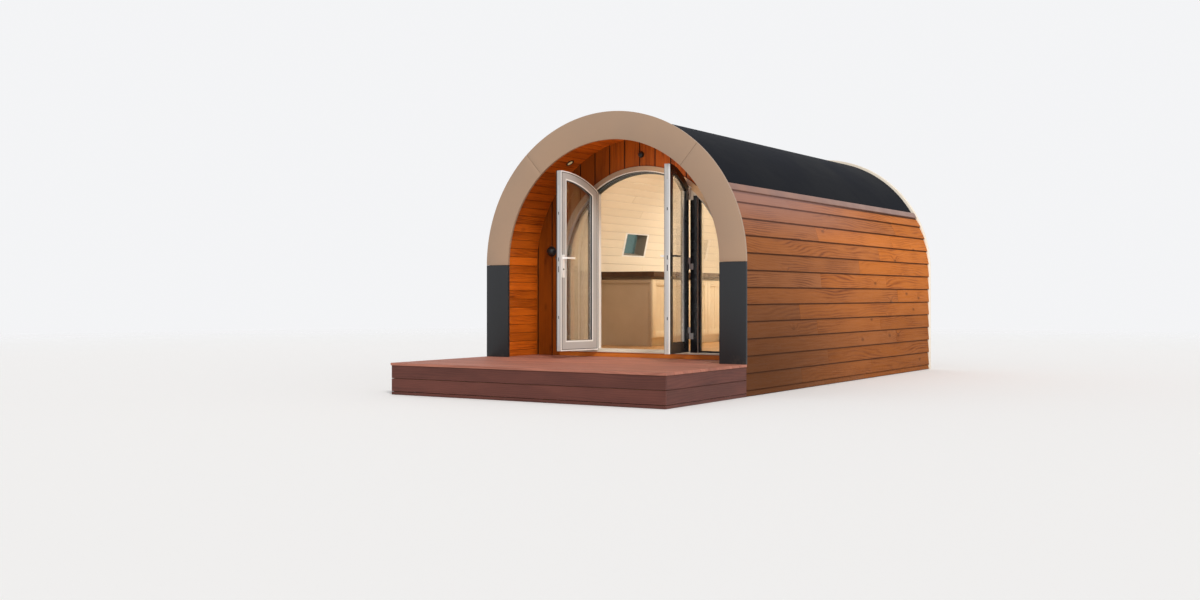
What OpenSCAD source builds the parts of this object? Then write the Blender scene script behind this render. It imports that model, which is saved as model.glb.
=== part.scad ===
// Garden office pod: an arched, timber-clad room with a recessed porch and a front deck.
// Millimetres. X runs across the pod, +Y from the deck towards the rear, +Z up.
// The origin is on the ground, under the middle of the whole object.

/* [Overall size] */
// Outer width of the pod across its front arch
pod_w = 3000; // [2800:10:3200]
// Length of the pod from the front fascia to the rear trim
pod_l = 5420; // [5000:10:6000]
// Height above ground where the straight walls end and the round vault begins
spring_h = 1255; // [1220:5:1350]
// Length of the open deck in front of the pod
deck_l = 1500; // [1300:10:1900]
// Height of the deck surface above ground
deck_h = 300; // [270:5:340]
// Depth of the porch, from the fascia's face to the boarded front wall
porch_d = 650; // [620:5:800]

/* [Shell] */
// Thickness of the insulated shell of walls and vault
shell_t = 123; // [90:1:140]
// Thickness of the sheathing behind the lapped boards
sheath_t = 6; // [4:1:10]
// Thickness of one lapped board
board_t = 20; // [16:1:22]
// Height of board that shows between two laps
board_cover = 160; // [140:5:180]
// Length by which a board runs down over the one below it
board_lap = 25; // [15:1:35]
// Height of the lowest lap line above ground
first_lap_h = 59; // [30:1:120]
// Thickness of the roof membrane with its deck
membrane_t = 18; // [12:1:24]
// Angle above the springing where the lapped boards end under the eave trim
eave_a = 27; // [24:0.5:32]
// Height of the eave trim, measured along the vault
eave_trim_h = 71; // [50:1:90]
// Thickness of the rear wall
rear_wall_t = 120; // [90:5:150]
// Length of the trim that covers the rear edge
rear_trim_l = 65; // [30:1:90]
// Width of the rear trim, measured inwards
rear_trim_w = 97; // [80:1:130]
// Pitch of the upright boards on the front and rear walls
upright_pitch = 182; // [150:1:200]
// Width of the groove between two upright boards
groove_w = 8; // [5:1:12]
// Depth of the groove between two upright boards
groove_d = 6; // [4:1:10]

/* [Fascia] */
// Width of the front fascia ring
fascia_w = 276; // [220:2:300]
// Thickness of the porch's boarded lining
porch_lining_t = 15; // [12:1:20]
// Thickness of the front fascia
fascia_t = 30; // [20:1:40]
// Distance by which the fascia stands past the lapped boards
fascia_lip = 6; // [4:1:15]
// Distance by which the eave and rear trims stand past the lapped boards
trim_lip = 3; // [1:0.5:4]
// Angle of the radial fascia joints above the springing
fascia_joint_a = 48.8; // [40:0.2:60]
// Width of a joint between two fascia panels
fascia_gap = 2; // [1:0.5:4]

/* [Floor] */
// Height of the floor bearers
bearer_h = 120; // [90:5:140]
// Width of one floor bearer
bearer_w = 70; // [50:5:90]
// Number of floor bearers
bearer_n = 5; // [4:1:7]
// Height of the room's floor above the deck surface
floor_rise = 56; // [40:1:62]

/* [Deck] */
// Thickness of a deck board
deck_board_t = 25; // [20:1:30]
// Width of a deck board
deck_board_w = 147; // [120:1:150]
// Gap between deck boards
deck_gap = 6; // [3:1:8]
// Distance by which the deck boards stand past the skirt
deck_nose = 8; // [4:1:15]
// Thickness of a skirt board
skirt_t = 20; // [15:1:25]
// Height of a skirt board
skirt_h = 120; // [100:1:135]
// Gap between skirt boards
skirt_gap = 4; // [3:1:8]
// Height of a deck joist
joist_h = 145; // [120:5:150]
// Width of a deck joist
joist_w = 45; // [38:1:60]
// Number of deck joists
joist_n = 6; // [5:1:8]
// Side of a deck post
post_w = 90; // [70:5:110]

/* [Front wall] */
// Thickness of the front wall
front_wall_t = 120; // [100:5:150]
// Outer radius of the glazed screen's arched frame
screen_r = 1015; // [990:5:1040]
// Width of the arched frame and its jambs
frame_w = 75; // [65:1:90]
// Depth of the screen's frame
frame_d = 110; // [95:1:120]
// Distance by which the frame stands in front of the boarded wall
frame_proud = 10; // [0:1:20]
// Width of a mullion beside the doors
mullion_w = 75; // [65:1:90]
// Height of the sill above the deck
sill_h = 64; // [64:1:80]
// Distance by which the sill's nose stands in front of the frame
sill_nose = 12; // [5:1:20]
// Height of the sill's nose
sill_nose_h = 18; // [12:1:25]
// Height of the stop behind the closed leaves' feet
upstand_h = 18; // [14:1:26]
// Width of the door stop lip
stop_w = 20; // [12:1:26]
// Thickness of the glass units
glass_t = 24; // [18:1:28]
// Width of the glazing bead round each glass unit
bead_w = 14; // [10:1:18]
// Thickness of the glazing bead in front of and behind the glass
bead_t = 9; // [6:0.5:12]
// Depth by which a glass unit sits in its glazing bead
bead_bite = 9; // [5:0.5:10]

/* [Doors] */
// Half the distance between the two hinge axes
hinge_x = 572.5; // [560:0.5:580]
// Distance of the hinge axis in front of the frame's face
hinge_out = 10; // [9:1:16]
// Angle by which both doors stand open
open_deg = 100; // [90:1:105]
// Thickness of a door leaf
leaf_t = 58; // [50:1:60]
// Gap between the two closed leaves at their outer faces
meet_gap = 6.5; // [6:0.5:12]
// Slant of the meeting edges across the leaf's thickness
meet_slant = 4.5; // [4:0.5:8]
// Gap between a leaf and the frame round it
leaf_gap = 5; // [5:0.5:8]
// Gap between a closed leaf and the stop behind it
stop_gap = 5; // [5:0.5:8]
// Gap between a leaf and the sill below it
leaf_foot_gap = 8; // [6:1:12]
// Width of the leaf's stiles and curved top rail
stile_w = 75; // [60:1:95]
// Height of the leaf's bottom rail
bottom_rail_h = 90; // [75:1:130]
// Distance of the glass behind the leaf's outer face
glass_set = 17; // [12:1:20]

/* [Door furniture] */
// Height of the levers above the deck
lever_h = 1020; // [950:5:1100]
// Height of a handle's back plate
plate_h = 235; // [180:5:250]
// Width of a handle's back plate
plate_w = 34; // [26:1:42]
// Thickness of a handle's back plate
plate_t = 8; // [5:1:10]
// Distance of the lever's middle from its back plate
lever_out = 45; // [38:1:55]
// Height of the lever's bar
lever_bar_h = 18; // [14:1:22]
// Thickness of the lever's bar
lever_bar_t = 12; // [8:1:14]
// Length of the lever
lever_l = 125; // [100:5:140]
// Corner radius of a handle's back plate
plate_round = 8; // [4:1:12]
// Length of the lever's straight end behind the second bend
lever_return = 8; // [2:1:20]
// Radius of the lever's bends, to the middle of the bar
lever_bend = 14; // [8:1:18]
// Radius of a hinge knuckle
knuckle_r = 7.5; // [6:0.5:8]
// Height of one hinge, both knuckles together
knuckle_h = 120; // [90:5:150]
// Radius of a hinge pin
pin_r = 4; // [3:0.25:4.5]
// Height of the lowest hinge above the deck
hinge_z0 = 200; // [150:5:300]
// Distance of the top hinge below the leaf's upper corner
hinge_drop = 4; // [2:1:40]
// Width of a hinge's flange
flange_w = 38; // [25:1:45]
// Thickness of a hinge's flange
flange_t = 4; // [3:0.5:6]

/* [Kitchen] */
// Distance of the kitchen from the porch front
kitchen_y = 1950; // [1900:5:2400]
// Length of the kitchen
kitchen_l = 1800; // [1200:50:2400]
// Depth of the kitchen's units
kitchen_d = 710; // [500:5:760]
// Height of the kitchen's units
unit_h = 802; // [760:1:860]
// Thickness of the worktop
worktop_t = 56; // [28:1:65]
// Distance by which the worktop stands out in front and at both ends
worktop_lip = 30; // [15:1:40]
// Height of the recess under the units
toe_h = 100; // [80:5:130]
// Depth of the recess under the units
toe_d = 50; // [40:5:80]
// Number of units side by side
unit_n = 4; // [2:1:5]
// Height of the open strip between the worktop and the unit doors
finger_h = 36; // [15:1:50]
// Thickness of the unit doors
unit_front_t = 19; // [16:1:22]
// Half the gap between two unit doors
front_gap = 2; // [1:0.5:3]

/* [Side window] */
// Distance of the window's middle from the fascia's face
window_y = 2685; // [2600:5:3000]
// Angle of the window's middle above the springing
window_a = 13; // [12:0.5:16]
// Length of the window
window_l = 550; // [500:10:700]
// Height of the window
window_h = 335; // [260:5:350]
// Width of the window's frame members
window_frame_w = 38; // [30:1:50]
// Distance by which the window's frame stands into the room
window_proud = 12; // [5:1:20]
// Distance of the window's glass behind the frame's outer face
window_glass_set = 18; // [12:1:50]

/* [Lights] */
// Diameter of a ceiling light
downlight_dia = 90; // [70:5:100]
// Thickness of a ceiling light's rim
downlight_t = 8; // [6:1:12]
// Angle of the ceiling lights above the springing
downlight_a = 55; // [45:1:65]
// Distance of the ceiling lights from the fascia's face
downlight_y = 450; // [300:10:500]
// Diameter of the round wall lamp
lamp_dia = 110; // [80:5:130]
// Depth of the wall lamp
lamp_h = 60; // [40:5:80]
// Height of the wall lamp's middle above ground
lamp_z = 1411; // [1380:1:1500]
// Distance of the wall lamp's middle from the screen's edge
lamp_side = 102; // [80:1:150]
// Diameter of the round fitting above the doors
dome_dia = 64; // [50:2:120]
// Depth of the round fitting above the doors
dome_h = 28; // [20:1:40]
// Height of that fitting's middle above the screen
dome_up = 118; // [80:1:200]
// Depth of the straight rim on both wall fittings
fitting_rim = 12; // [6:1:18]
// Loss of diameter along the front of both wall fittings, for each millimetre of depth
fitting_taper = 1; // [0.5:0.1:1.2]

/* [Hidden] */

// Clearance between pieces that seat on each other
seat = 0.3;
// Overshoot of a cutting solid
over = 20;
arc_fn = 180;

outer_r = pod_w / 2;
board_out_r = outer_r - fascia_lip;
back_r = board_out_r - 2 * board_t;
clad_in_r = back_r - sheath_t;
shell_out_r = clad_in_r - seat;
room_r = shell_out_r - shell_t;
porch_r = room_r - seat - porch_lining_t;
trim_r = board_out_r + trim_lip;
membrane_r = clad_in_r + membrane_t;
fascia_in_r = outer_r - fascia_w;
eave_top_a = eave_a + eave_trim_h / trim_r * 180 / PI;

front_y = (deck_l - pod_l) / 2;
deck_y = front_y - deck_l;
rear_y = front_y + pod_l;
shell_y0 = front_y + fascia_t + seat;
clad_y1 = rear_y - rear_trim_l - seat;
rear_wall_y = rear_y - rear_trim_l - rear_wall_t;
wall_y = front_y + porch_d;
frame_y = wall_y - frame_proud;
stop_y = frame_y + leaf_t + stop_gap;
base_top = deck_h - deck_board_t;
floor_h = deck_h + floor_rise;
sill_top = deck_h + sill_h;

frame_in_r = screen_r - frame_w;
hinge_y = frame_y - hinge_out;
leaf_edge_x = hinge_x - leaf_gap / 2;
mullion_x = hinge_x + leaf_gap / 2;
leaf_r = frame_in_r + stop_w - leaf_gap;
leaf_corner_z = spring_h + sqrt(leaf_r * leaf_r - leaf_edge_x * leaf_edge_x);
leaf_foot = sill_top + leaf_foot_gap;

// Unit vector at an angle in the X-Z plane
function dir(a) = [cos(a), sin(a)];

// Point on the lapped wall: s is the distance up along the wall, out the distance from the sheathing
function wall_point(s, out) =
    s <= spring_h
        ? [back_r + out, s]
        : let (a = (s - spring_h) / back_r * 180 / PI)
          [0, spring_h] + (back_r + out) * dir(a);

// Extrudes an X-Z outline from y0 to y1
module along(y0, y1) {
    translate([0, y1, 0]) rotate([90, 0, 0]) linear_extrude(y1 - y0) children();
}

// Outline of a half disc standing on straight sides
module arch(r, foot) {
    translate([0, spring_h]) intersection() {
        circle(r, $fn = arc_fn);
        translate([-2 * r, 0]) square([4 * r, 2 * r]);
    }
    translate([-r, foot]) square([2 * r, spring_h - foot]);
}

// Outline of a ring's stretch between two angles
module sector(r0, r1, a0, a1) {
    translate([0, spring_h]) intersection() {
        difference() {
            circle(r1, $fn = arc_fn);
            circle(r0, $fn = arc_fn);
        }
        polygon([[0, 0], for (i = [0 : 3]) 2 * r1 * dir(a0 + i * (a1 - a0) / 3)]);
    }
}

// Upright grooves across a boarded face at y, cut from the side the face looks to
module upright_grooves(y, depth) {
    half_n = ceil(outer_r / upright_pitch);
    for (i = [-half_n : half_n])
        translate([(i + 0.5) * upright_pitch - groove_w / 2, y, 0]) cube([groove_w, depth, spring_h + outer_r]);
}

// Floor

module floor_bearers() {
    span = 2 * room_r - bearer_w - 2 * over;
    color("peru") for (i = [0 : bearer_n - 1])
        translate([-span / 2 + i * span / (bearer_n - 1) - bearer_w / 2, shell_y0, 0])
            cube([bearer_w, rear_wall_y - seat - shell_y0, bearer_h]);
}

module floor_panel() {
    color("burlywood") translate([-room_r + seat, shell_y0, bearer_h])
        cube([2 * (room_r - seat), rear_wall_y - seat - shell_y0, base_top - bearer_h]);
}

module room_floor() {
    y0 = wall_y + front_wall_t + seat;
    color("tan") translate([-room_r + seat, y0, base_top])
        cube([2 * (room_r - seat), rear_wall_y - seat - y0, floor_h - base_top]);
}

// Shell

module wall(side) {
    x0 = side > 0 ? room_r : -shell_out_r;
    translate([x0, shell_y0, 0]) cube([shell_t, rear_wall_y - seat - shell_y0, spring_h]);
}

module vault(a0, a1) {
    along(shell_y0, rear_wall_y - seat) sector(room_r, shell_out_r, a0, a1);
}

module window_place() {
    translate([0, front_y + window_y, spring_h]) rotate([0, window_a, 0]) children();
}

// Box of the window's length and height plus a margin on every edge, between two radii
module window_box(margin, r0, r1) {
    translate([-r1, -window_l / 2 - margin, -window_h / 2 - margin])
        cube([r1 - r0, window_l + 2 * margin, window_h + 2 * margin]);
}

module window_hole() {
    window_place() window_box(seat, room_r - 3 * over, outer_r + 3 * over);
}

module left_wall() color("wheat") wall(-1);

module right_wall() color("wheat") wall(1);

module left_vault() {
    color("wheat") difference() {
        vault(120, 180);
        window_hole();
    }
}

module crown_vault() color("wheat") vault(60, 120);

module right_vault() color("wheat") vault(0, 60);

// Outline of the lapped boards on the right side, from the ground to the eave
module lapped_outline() {
    eave_s = spring_h + eave_a / 180 * PI * back_r;
    tail = board_t * (1 + board_lap / (board_cover + board_lap));
    lap_n = ceil((eave_s - first_lap_h) / board_cover);
    laps = [for (i = [0 : lap_n - 1]) first_lap_h + i * board_cover];
    edge = [
        for (s = laps) each [wall_point(s, tail), wall_point(s, 2 * board_t)],
        wall_point(eave_s, tail)
    ];
    difference() {
        polygon(concat([[0, 0], [board_out_r, 0]], edge, [[0, spring_h]]));
        arch(clad_in_r, -over);
    }
}

module cladding() {
    along(shell_y0, clad_y1) lapped_outline();
}

module left_cladding() {
    color("peru") difference() {
        mirror([1, 0, 0]) cladding();
        window_hole();
    }
}

module right_cladding() color("peru") cladding();

module eave_trims() {
    color("rosybrown") for (side = [0, 1]) mirror([side, 0, 0])
        along(shell_y0, clad_y1) sector(clad_in_r, trim_r, eave_a, eave_top_a);
}

module roof_membrane() {
    color("darkslategray") along(shell_y0, clad_y1)
        sector(clad_in_r, membrane_r, eave_top_a, 180 - eave_top_a);
}

// Front fascia

module fascia(a0, a1) {
    along(front_y, front_y + fascia_t) sector(fascia_in_r, outer_r, a0, a1);
}

module leg_panel() {
    translate([fascia_in_r, front_y, deck_h]) cube([fascia_w, fascia_t, spring_h - fascia_gap - deck_h]);
}

joint_half_a = fascia_gap / 2 / outer_r * 180 / PI;

module right_leg_panel() color("dimgray") leg_panel();

module left_leg_panel() color("dimgray") mirror([1, 0, 0]) leg_panel();

module right_fascia() color("tan") fascia(0, fascia_joint_a - joint_half_a);

module left_fascia() color("tan") fascia(180 - fascia_joint_a + joint_half_a, 180);

module crown_fascia() {
    color("tan") fascia(fascia_joint_a + joint_half_a, 180 - fascia_joint_a - joint_half_a);
}

// Porch lining

module porch_side() {
    translate([porch_r, shell_y0, base_top])
        cube([porch_lining_t, wall_y - seat - shell_y0, spring_h - base_top]);
}

module right_porch_lining() color("chocolate") porch_side();

module left_porch_lining() color("chocolate") mirror([1, 0, 0]) porch_side();

module porch_ceiling() {
    color("chocolate") along(shell_y0, wall_y - seat) sector(porch_r, porch_r + porch_lining_t, 0, 180);
}

// Rear end

module rear_wall() {
    back = rear_wall_y + rear_wall_t;
    color("peru") difference() {
        along(rear_wall_y, back - seat) arch(shell_out_r, 0);
        upright_grooves(back - seat - groove_d, groove_d + over);
    }
}

module rear_trim() {
    color("ivory") along(rear_y - rear_trim_l, rear_y) difference() {
        arch(trim_r, 0);
        arch(trim_r - rear_trim_w, -over);
    }
}

// Front wall

module front_wall_side() {
    x0 = screen_r + seat;
    difference() {
        translate([x0, wall_y, base_top]) cube([room_r - seat - x0, front_wall_t, spring_h - base_top]);
        upright_grooves(wall_y - over, groove_d + over);
    }
}

module right_front_wall() color("saddlebrown") front_wall_side();

module left_front_wall() color("saddlebrown") mirror([1, 0, 0]) front_wall_side();

module front_wall_head() {
    color("saddlebrown") difference() {
        along(wall_y, wall_y + front_wall_t) sector(screen_r + seat, room_r - seat, 0, 180);
        upright_grooves(wall_y - over, groove_d + over);
    }
}

// Glazed screen

module frame_head() {
    color("dimgray") difference() {
        along(frame_y, frame_y + frame_d) sector(frame_in_r, screen_r, 0, 180);
        along(frame_y - over, stop_y) intersection() {
            translate([0, spring_h]) circle(leaf_r + leaf_gap, $fn = arc_fn);
            translate([-mullion_x, spring_h]) square([2 * mullion_x, outer_r]);
        }
    }
}

module jamb() {
    translate([frame_in_r, frame_y, sill_top]) cube([frame_w, frame_d, spring_h - sill_top]);
}

module mullion() {
    plan = [
        [mullion_x, frame_y], [mullion_x + mullion_w, frame_y],
        [mullion_x + mullion_w, frame_y + frame_d], [mullion_x - stop_w, frame_y + frame_d],
        [mullion_x - stop_w, stop_y], [mullion_x, stop_y]
    ];
    intersection() {
        translate([0, 0, sill_top]) linear_extrude(2 * outer_r) polygon(plan);
        along(frame_y - over, frame_y + frame_d + over) arch(frame_in_r - seat, 0);
    }
}

// Heights of the three hinges: the lowest, the highest under the leaf's corner, and one between
hinge_low = deck_h + hinge_z0;
hinge_high = leaf_corner_z - hinge_drop - knuckle_h;
hinge_zs = [hinge_low, (hinge_low + hinge_high) / 2, hinge_high];
// Gap between a hinge's two knuckles, and the pin's distance below the top of the upper one
knuckle_gap = 1;
pin_down = 2;
// Clearance round a hinge pin
pin_clear = 0.4;

// Lower knuckle, pin and flange of each hinge, on the mullion
module fixed_knuckles() {
    for (z = hinge_zs) translate([hinge_x, hinge_y, z]) {
        cylinder(r = knuckle_r, h = knuckle_h / 2);
        cylinder(r = pin_r, h = knuckle_h - pin_down);
        translate([0, hinge_out - flange_t, 0]) cube([flange_w, flange_t + seat, knuckle_h / 2]);
        translate([-flange_t / 2, 0, 0]) cube([flange_t, hinge_out - knuckle_gap, knuckle_h / 2]);
    }
}

// Outline of the opening beside the doors, drawn in by a margin
module side_outline(margin) {
    intersection() {
        arch(frame_in_r - seat - margin, sill_top + margin);
        translate([mullion_x + mullion_w + seat + margin, sill_top + margin]) square([outer_r, 2 * outer_r]);
    }
}

side_glass_y = frame_y + (frame_d - glass_t) / 2;

// Glazing bead with its groove, drawn in from the opening beside the doors
module side_bead() {
    difference() {
        along(side_glass_y - bead_t, side_glass_y + glass_t + bead_t) difference() {
            side_outline(0);
            side_outline(bead_w);
        }
        along(side_glass_y - seat, side_glass_y + glass_t + seat) side_outline(bead_w - bead_bite - seat);
    }
}

module frame_posts() {
    color("dimgray") for (side = [0, 1]) mirror([side, 0, 0]) {
        jamb();
        mullion();
        fixed_knuckles();
        side_bead();
    }
}

module threshold() {
    nose_y = frame_y - sill_nose;
    side_view = [
        [frame_y, base_top], [frame_y + frame_d, base_top], [frame_y + frame_d, sill_top],
        [nose_y, sill_top], [nose_y, sill_top - sill_nose_h], [frame_y, sill_top - sill_nose_h]
    ];
    color("gainsboro") {
        rotate([90, 0, 90]) translate([0, 0, -screen_r]) linear_extrude(2 * screen_r) polygon(side_view);
        translate([-mullion_x + stop_w + seat, stop_y, sill_top])
            cube([2 * (mullion_x - stop_w - seat), frame_y + frame_d - stop_y, upstand_h]);
    }
}

module side_light() {
    along(side_glass_y, side_glass_y + glass_t) side_outline(bead_w - bead_bite);
}

module right_side_light() color("lightblue", 0.4) side_light();

module left_side_light() color("lightblue", 0.4) mirror([1, 0, 0]) side_light();

// Doors, drawn closed on the right-hand side and turned open about the hinge axis

module swing() {
    translate([hinge_x, hinge_y, 0]) rotate([0, 0, open_deg]) translate([-hinge_x, -hinge_y, 0]) children();
}

// Outline of the leaf, or of its glass when set in by the rails
module leaf_outline(edge, foot) {
    intersection() {
        arch(leaf_r - edge, leaf_foot + foot);
        translate([meet_gap / 2 + edge, 0])
            square([leaf_edge_x - meet_gap / 2 - 2 * edge, spring_h + outer_r]);
    }
}

// Upper knuckle and flange of each hinge, on the leaf
module leaf_knuckles() {
    half = knuckle_h / 2;
    for (z = hinge_zs) translate([hinge_x, hinge_y, z + half + knuckle_gap]) {
        cylinder(r = knuckle_r, h = half - knuckle_gap);
        translate([-flange_w, hinge_out - flange_t, 0]) cube([flange_w, flange_t, half - knuckle_gap]);
        translate([-flange_w, hinge_out - flange_t, 0])
            cube([flange_w - leaf_gap, flange_t + seat, half - knuckle_gap]);
        translate([-flange_t, 0, 0]) cube([flange_t, hinge_out - knuckle_gap, half - knuckle_gap]);
    }
}

module pin_bores() {
    for (z = hinge_zs) translate([hinge_x, hinge_y, z]) cylinder(r = pin_r + pin_clear, h = knuckle_h + over);
}

module leaf() {
    plan = [
        [meet_gap / 2, frame_y], [leaf_edge_x, frame_y],
        [leaf_edge_x, frame_y + leaf_t], [meet_gap / 2 + meet_slant, frame_y + leaf_t]
    ];
    difference() {
        union() {
            intersection() {
                along(frame_y, frame_y + leaf_t) difference() {
                    leaf_outline(0, 0);
                    leaf_opening(0);
                }
                linear_extrude(spring_h + outer_r) polygon(plan);
            }
            leaf_knuckles();
        }
        pin_bores();
    }
}

leaf_glass_y = frame_y + glass_set;

// Outline of the leaf's opening, drawn in by a margin
module leaf_opening(margin) {
    leaf_outline(stile_w + margin, bottom_rail_h + margin);
}

// Glazing bead with its groove, round the leaf's glass
module leaf_bead() {
    difference() {
        along(leaf_glass_y - bead_t, leaf_glass_y + glass_t + bead_t) difference() {
            leaf_opening(seat);
            leaf_opening(seat + bead_w);
        }
        along(leaf_glass_y - seat, leaf_glass_y + glass_t + seat) leaf_opening(bead_w - bead_bite);
    }
}

module leaf_glass() {
    along(leaf_glass_y, leaf_glass_y + glass_t) leaf_opening(seat + bead_w - bead_bite);
}

// Upright plate with round corners, its foot at the origin
module back_plate() {
    w = plate_w - 2 * plate_round;
    h = plate_h - 2 * plate_round;
    rotate([90, 0, 0]) linear_extrude(plate_t) union() {
        translate([-plate_w / 2, plate_round]) square([plate_w, h]);
        translate([-w / 2, 0]) square([w, plate_h]);
        for (x = [-w / 2, w / 2], z = [plate_round, plate_round + h])
            translate([x, z]) circle(plate_round);
    }
}

// Plan of the lever's quarter bend, its centre at the origin, between the -X and the -Y side
module lever_elbow() {
    intersection() {
        difference() {
            circle(lever_bend + lever_bar_t / 2);
            circle(lever_bend - lever_bar_t / 2);
        }
        translate([-2 * lever_bend, -2 * lever_bend]) square(2 * lever_bend);
    }
}

// Plan of the lever's bar: out of the plate, along the grip, and back at its end
module lever_plan() {
    neck_y = lever_bend - plate_t - lever_out;
    reach = lever_l - lever_bend;
    translate([-lever_bar_t / 2, neck_y]) square([lever_bar_t, -plate_t / 2 - neck_y]);
    translate([lever_bend, neck_y]) lever_elbow();
    translate([lever_bend, neck_y - lever_bend - lever_bar_t / 2]) square([reach - lever_bend, lever_bar_t]);
    translate([reach, neck_y]) mirror([1, 0]) lever_elbow();
    translate([lever_l - lever_bar_t / 2, neck_y]) square([lever_bar_t, lever_return]);
}

// Back plate and lever, standing out of a face at y = 0 towards -Y, the grip pointing along +X
module handle() {
    translate([0, -seat, plate_w - plate_h]) back_plate();
    translate([0, 0, -lever_bar_h / 2]) linear_extrude(lever_bar_h) lever_plan();
}

module leaf_handles() {
    place = [meet_gap / 2 + stile_w / 2, frame_y, deck_h + lever_h];
    translate(place) handle();
    translate([place[0], frame_y + leaf_t, place[2]]) mirror([0, 1, 0]) handle();
}

module door_leaf() {
    swing() {
        leaf();
        leaf_bead();
    }
}

module right_door_leaf() color("darkslategray") door_leaf();

module left_door_leaf() color("darkslategray") mirror([1, 0, 0]) door_leaf();

module right_door_glass() color("lightblue", 0.4) swing() leaf_glass();

module left_door_glass() color("lightblue", 0.4) mirror([1, 0, 0]) swing() leaf_glass();

module right_door_handles() color("silver") swing() leaf_handles();

module left_door_handles() color("silver") mirror([1, 0, 0]) swing() leaf_handles();

// Deck

// Least width of the deck board that is cut to fit at the threshold
deck_min_w = 20;
skirt_x = outer_r - deck_nose;
skirt_y0 = deck_y + deck_nose;
deck_y1 = front_y + fascia_t;

module deck_plan() {
    porch_half = porch_r - deck_gap;
    translate([-outer_r, deck_y]) square([pod_w, deck_y1 - deck_y]);
    translate([-porch_half, deck_y]) square([2 * porch_half, frame_y - deck_gap - deck_y]);
}

module deck_boards() {
    pitch = deck_board_w + deck_gap;
    run = frame_y - deck_gap - deck_y;
    color("sienna") translate([0, 0, base_top]) linear_extrude(deck_board_t) intersection() {
        deck_plan();
        for (i = [0 : floor((run - deck_min_w) / pitch)])
            translate([-outer_r, deck_y + i * pitch]) square([pod_w, deck_board_w]);
    }
}

// Rims across the deck, joists and noggins between them, and posts under the rims
module deck_frame() {
    y0 = skirt_y0 + skirt_t + seat;
    half = skirt_x - skirt_t - seat;
    z0 = base_top - seat - joist_h;
    step = (2 * half - joist_w) / (joist_n - 1);
    joist_y = y0 + joist_w + seat;
    joist_l = deck_y1 - joist_w - seat - joist_y;
    color("burlywood") {
        for (y = [y0, deck_y1 - joist_w])
            translate([-half, y, z0]) cube([2 * half, joist_w, joist_h]);
        for (i = [0 : joist_n - 1])
            translate([-half + i * step, joist_y, z0]) cube([joist_w, joist_l, joist_h]);
        for (i = [0 : joist_n - 2])
            translate([-half + i * step + joist_w + seat, joist_y + (joist_l - joist_w) / 2, z0])
                cube([step - joist_w - 2 * seat, joist_w, joist_h]);
        for (i = [0 : joist_n - 1], y = [y0, deck_y1 - post_w])
            translate([-half + i * (2 * half - post_w) / (joist_n - 1), y, 0])
                cube([post_w, post_w, z0 - seat]);
    }
}

// Skirt boards stacked from under the deck boards down, the lowest one cut at the ground
module skirt_courses(x_size, y_size) {
    pitch = skirt_h + skirt_gap;
    for (i = [0 : floor(base_top / pitch)]) {
        top = base_top - seat - i * pitch;
        foot = max(0, top - skirt_h);
        translate([0, 0, foot]) cube([x_size, y_size, top - foot]);
    }
}

module front_skirt() {
    color("sienna") translate([-skirt_x, skirt_y0, 0]) skirt_courses(2 * skirt_x, skirt_t);
}

module side_skirts() {
    y0 = skirt_y0 + skirt_t + seat;
    color("sienna") for (x = [-skirt_x, skirt_x - skirt_t])
        translate([x, y0, 0]) skirt_courses(skirt_t, deck_y1 - y0);
}

// Kitchen along the left wall

kitchen_x = -room_r + seat;
kitchen_y0 = front_y + kitchen_y;

module kitchen_units() {
    unit_l = kitchen_l / unit_n;
    face_x = kitchen_x + kitchen_d - unit_front_t;
    color("antiquewhite") {
        difference() {
            translate([kitchen_x, kitchen_y0, floor_h]) cube([kitchen_d - unit_front_t, kitchen_l, unit_h]);
            translate([face_x - toe_d, kitchen_y0 - over, floor_h - over])
                cube([toe_d + over, kitchen_l + 2 * over, toe_h + over]);
        }
        for (i = [0 : unit_n - 1])
            translate([face_x, kitchen_y0 + i * unit_l + front_gap, floor_h + toe_h])
                cube([unit_front_t, unit_l - 2 * front_gap, unit_h - toe_h - finger_h]);
    }
}

module worktop() {
    color("saddlebrown") translate([kitchen_x, kitchen_y0 - worktop_lip, floor_h + unit_h])
        cube([kitchen_d + worktop_lip, kitchen_l + 2 * worktop_lip, worktop_t]);
}

// Side window in the left vault

module side_window_frame() {
    color("ivory") window_place() difference() {
        window_box(0, room_r - window_proud, board_out_r);
        window_box(-window_frame_w, room_r - 3 * over, outer_r + over);
    }
}

module side_window_glass() {
    out_r = board_out_r - window_glass_set;
    color("lightblue", 0.4) window_place() window_box(-window_frame_w - seat, out_r - glass_t, out_r);
}

// Porch lights

module wall_fitting(x, z, dia, depth) {
    cone_h = depth - fitting_rim;
    translate([x, wall_y - seat, z]) rotate([90, 0, 0]) {
        cylinder(d = dia, h = fitting_rim);
        translate([0, 0, fitting_rim]) cylinder(d1 = dia, d2 = dia - fitting_taper * cone_h, h = cone_h);
    }
}

module porch_lights() {
    rim_r = porch_r * cos(asin(downlight_dia / 2 / porch_r)) - seat / 2;
    color("dimgray") {
        for (a = [90 - downlight_a, downlight_a - 90])
            translate([0, front_y + downlight_y, spring_h]) rotate([0, a, 0])
                translate([0, 0, rim_r - downlight_t]) cylinder(d = downlight_dia, h = downlight_t);
        wall_fitting(0, spring_h + screen_r + dome_up, dome_dia, dome_h);
        wall_fitting(-screen_r - lamp_side, lamp_z, lamp_dia, lamp_h);
    }
}

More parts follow.
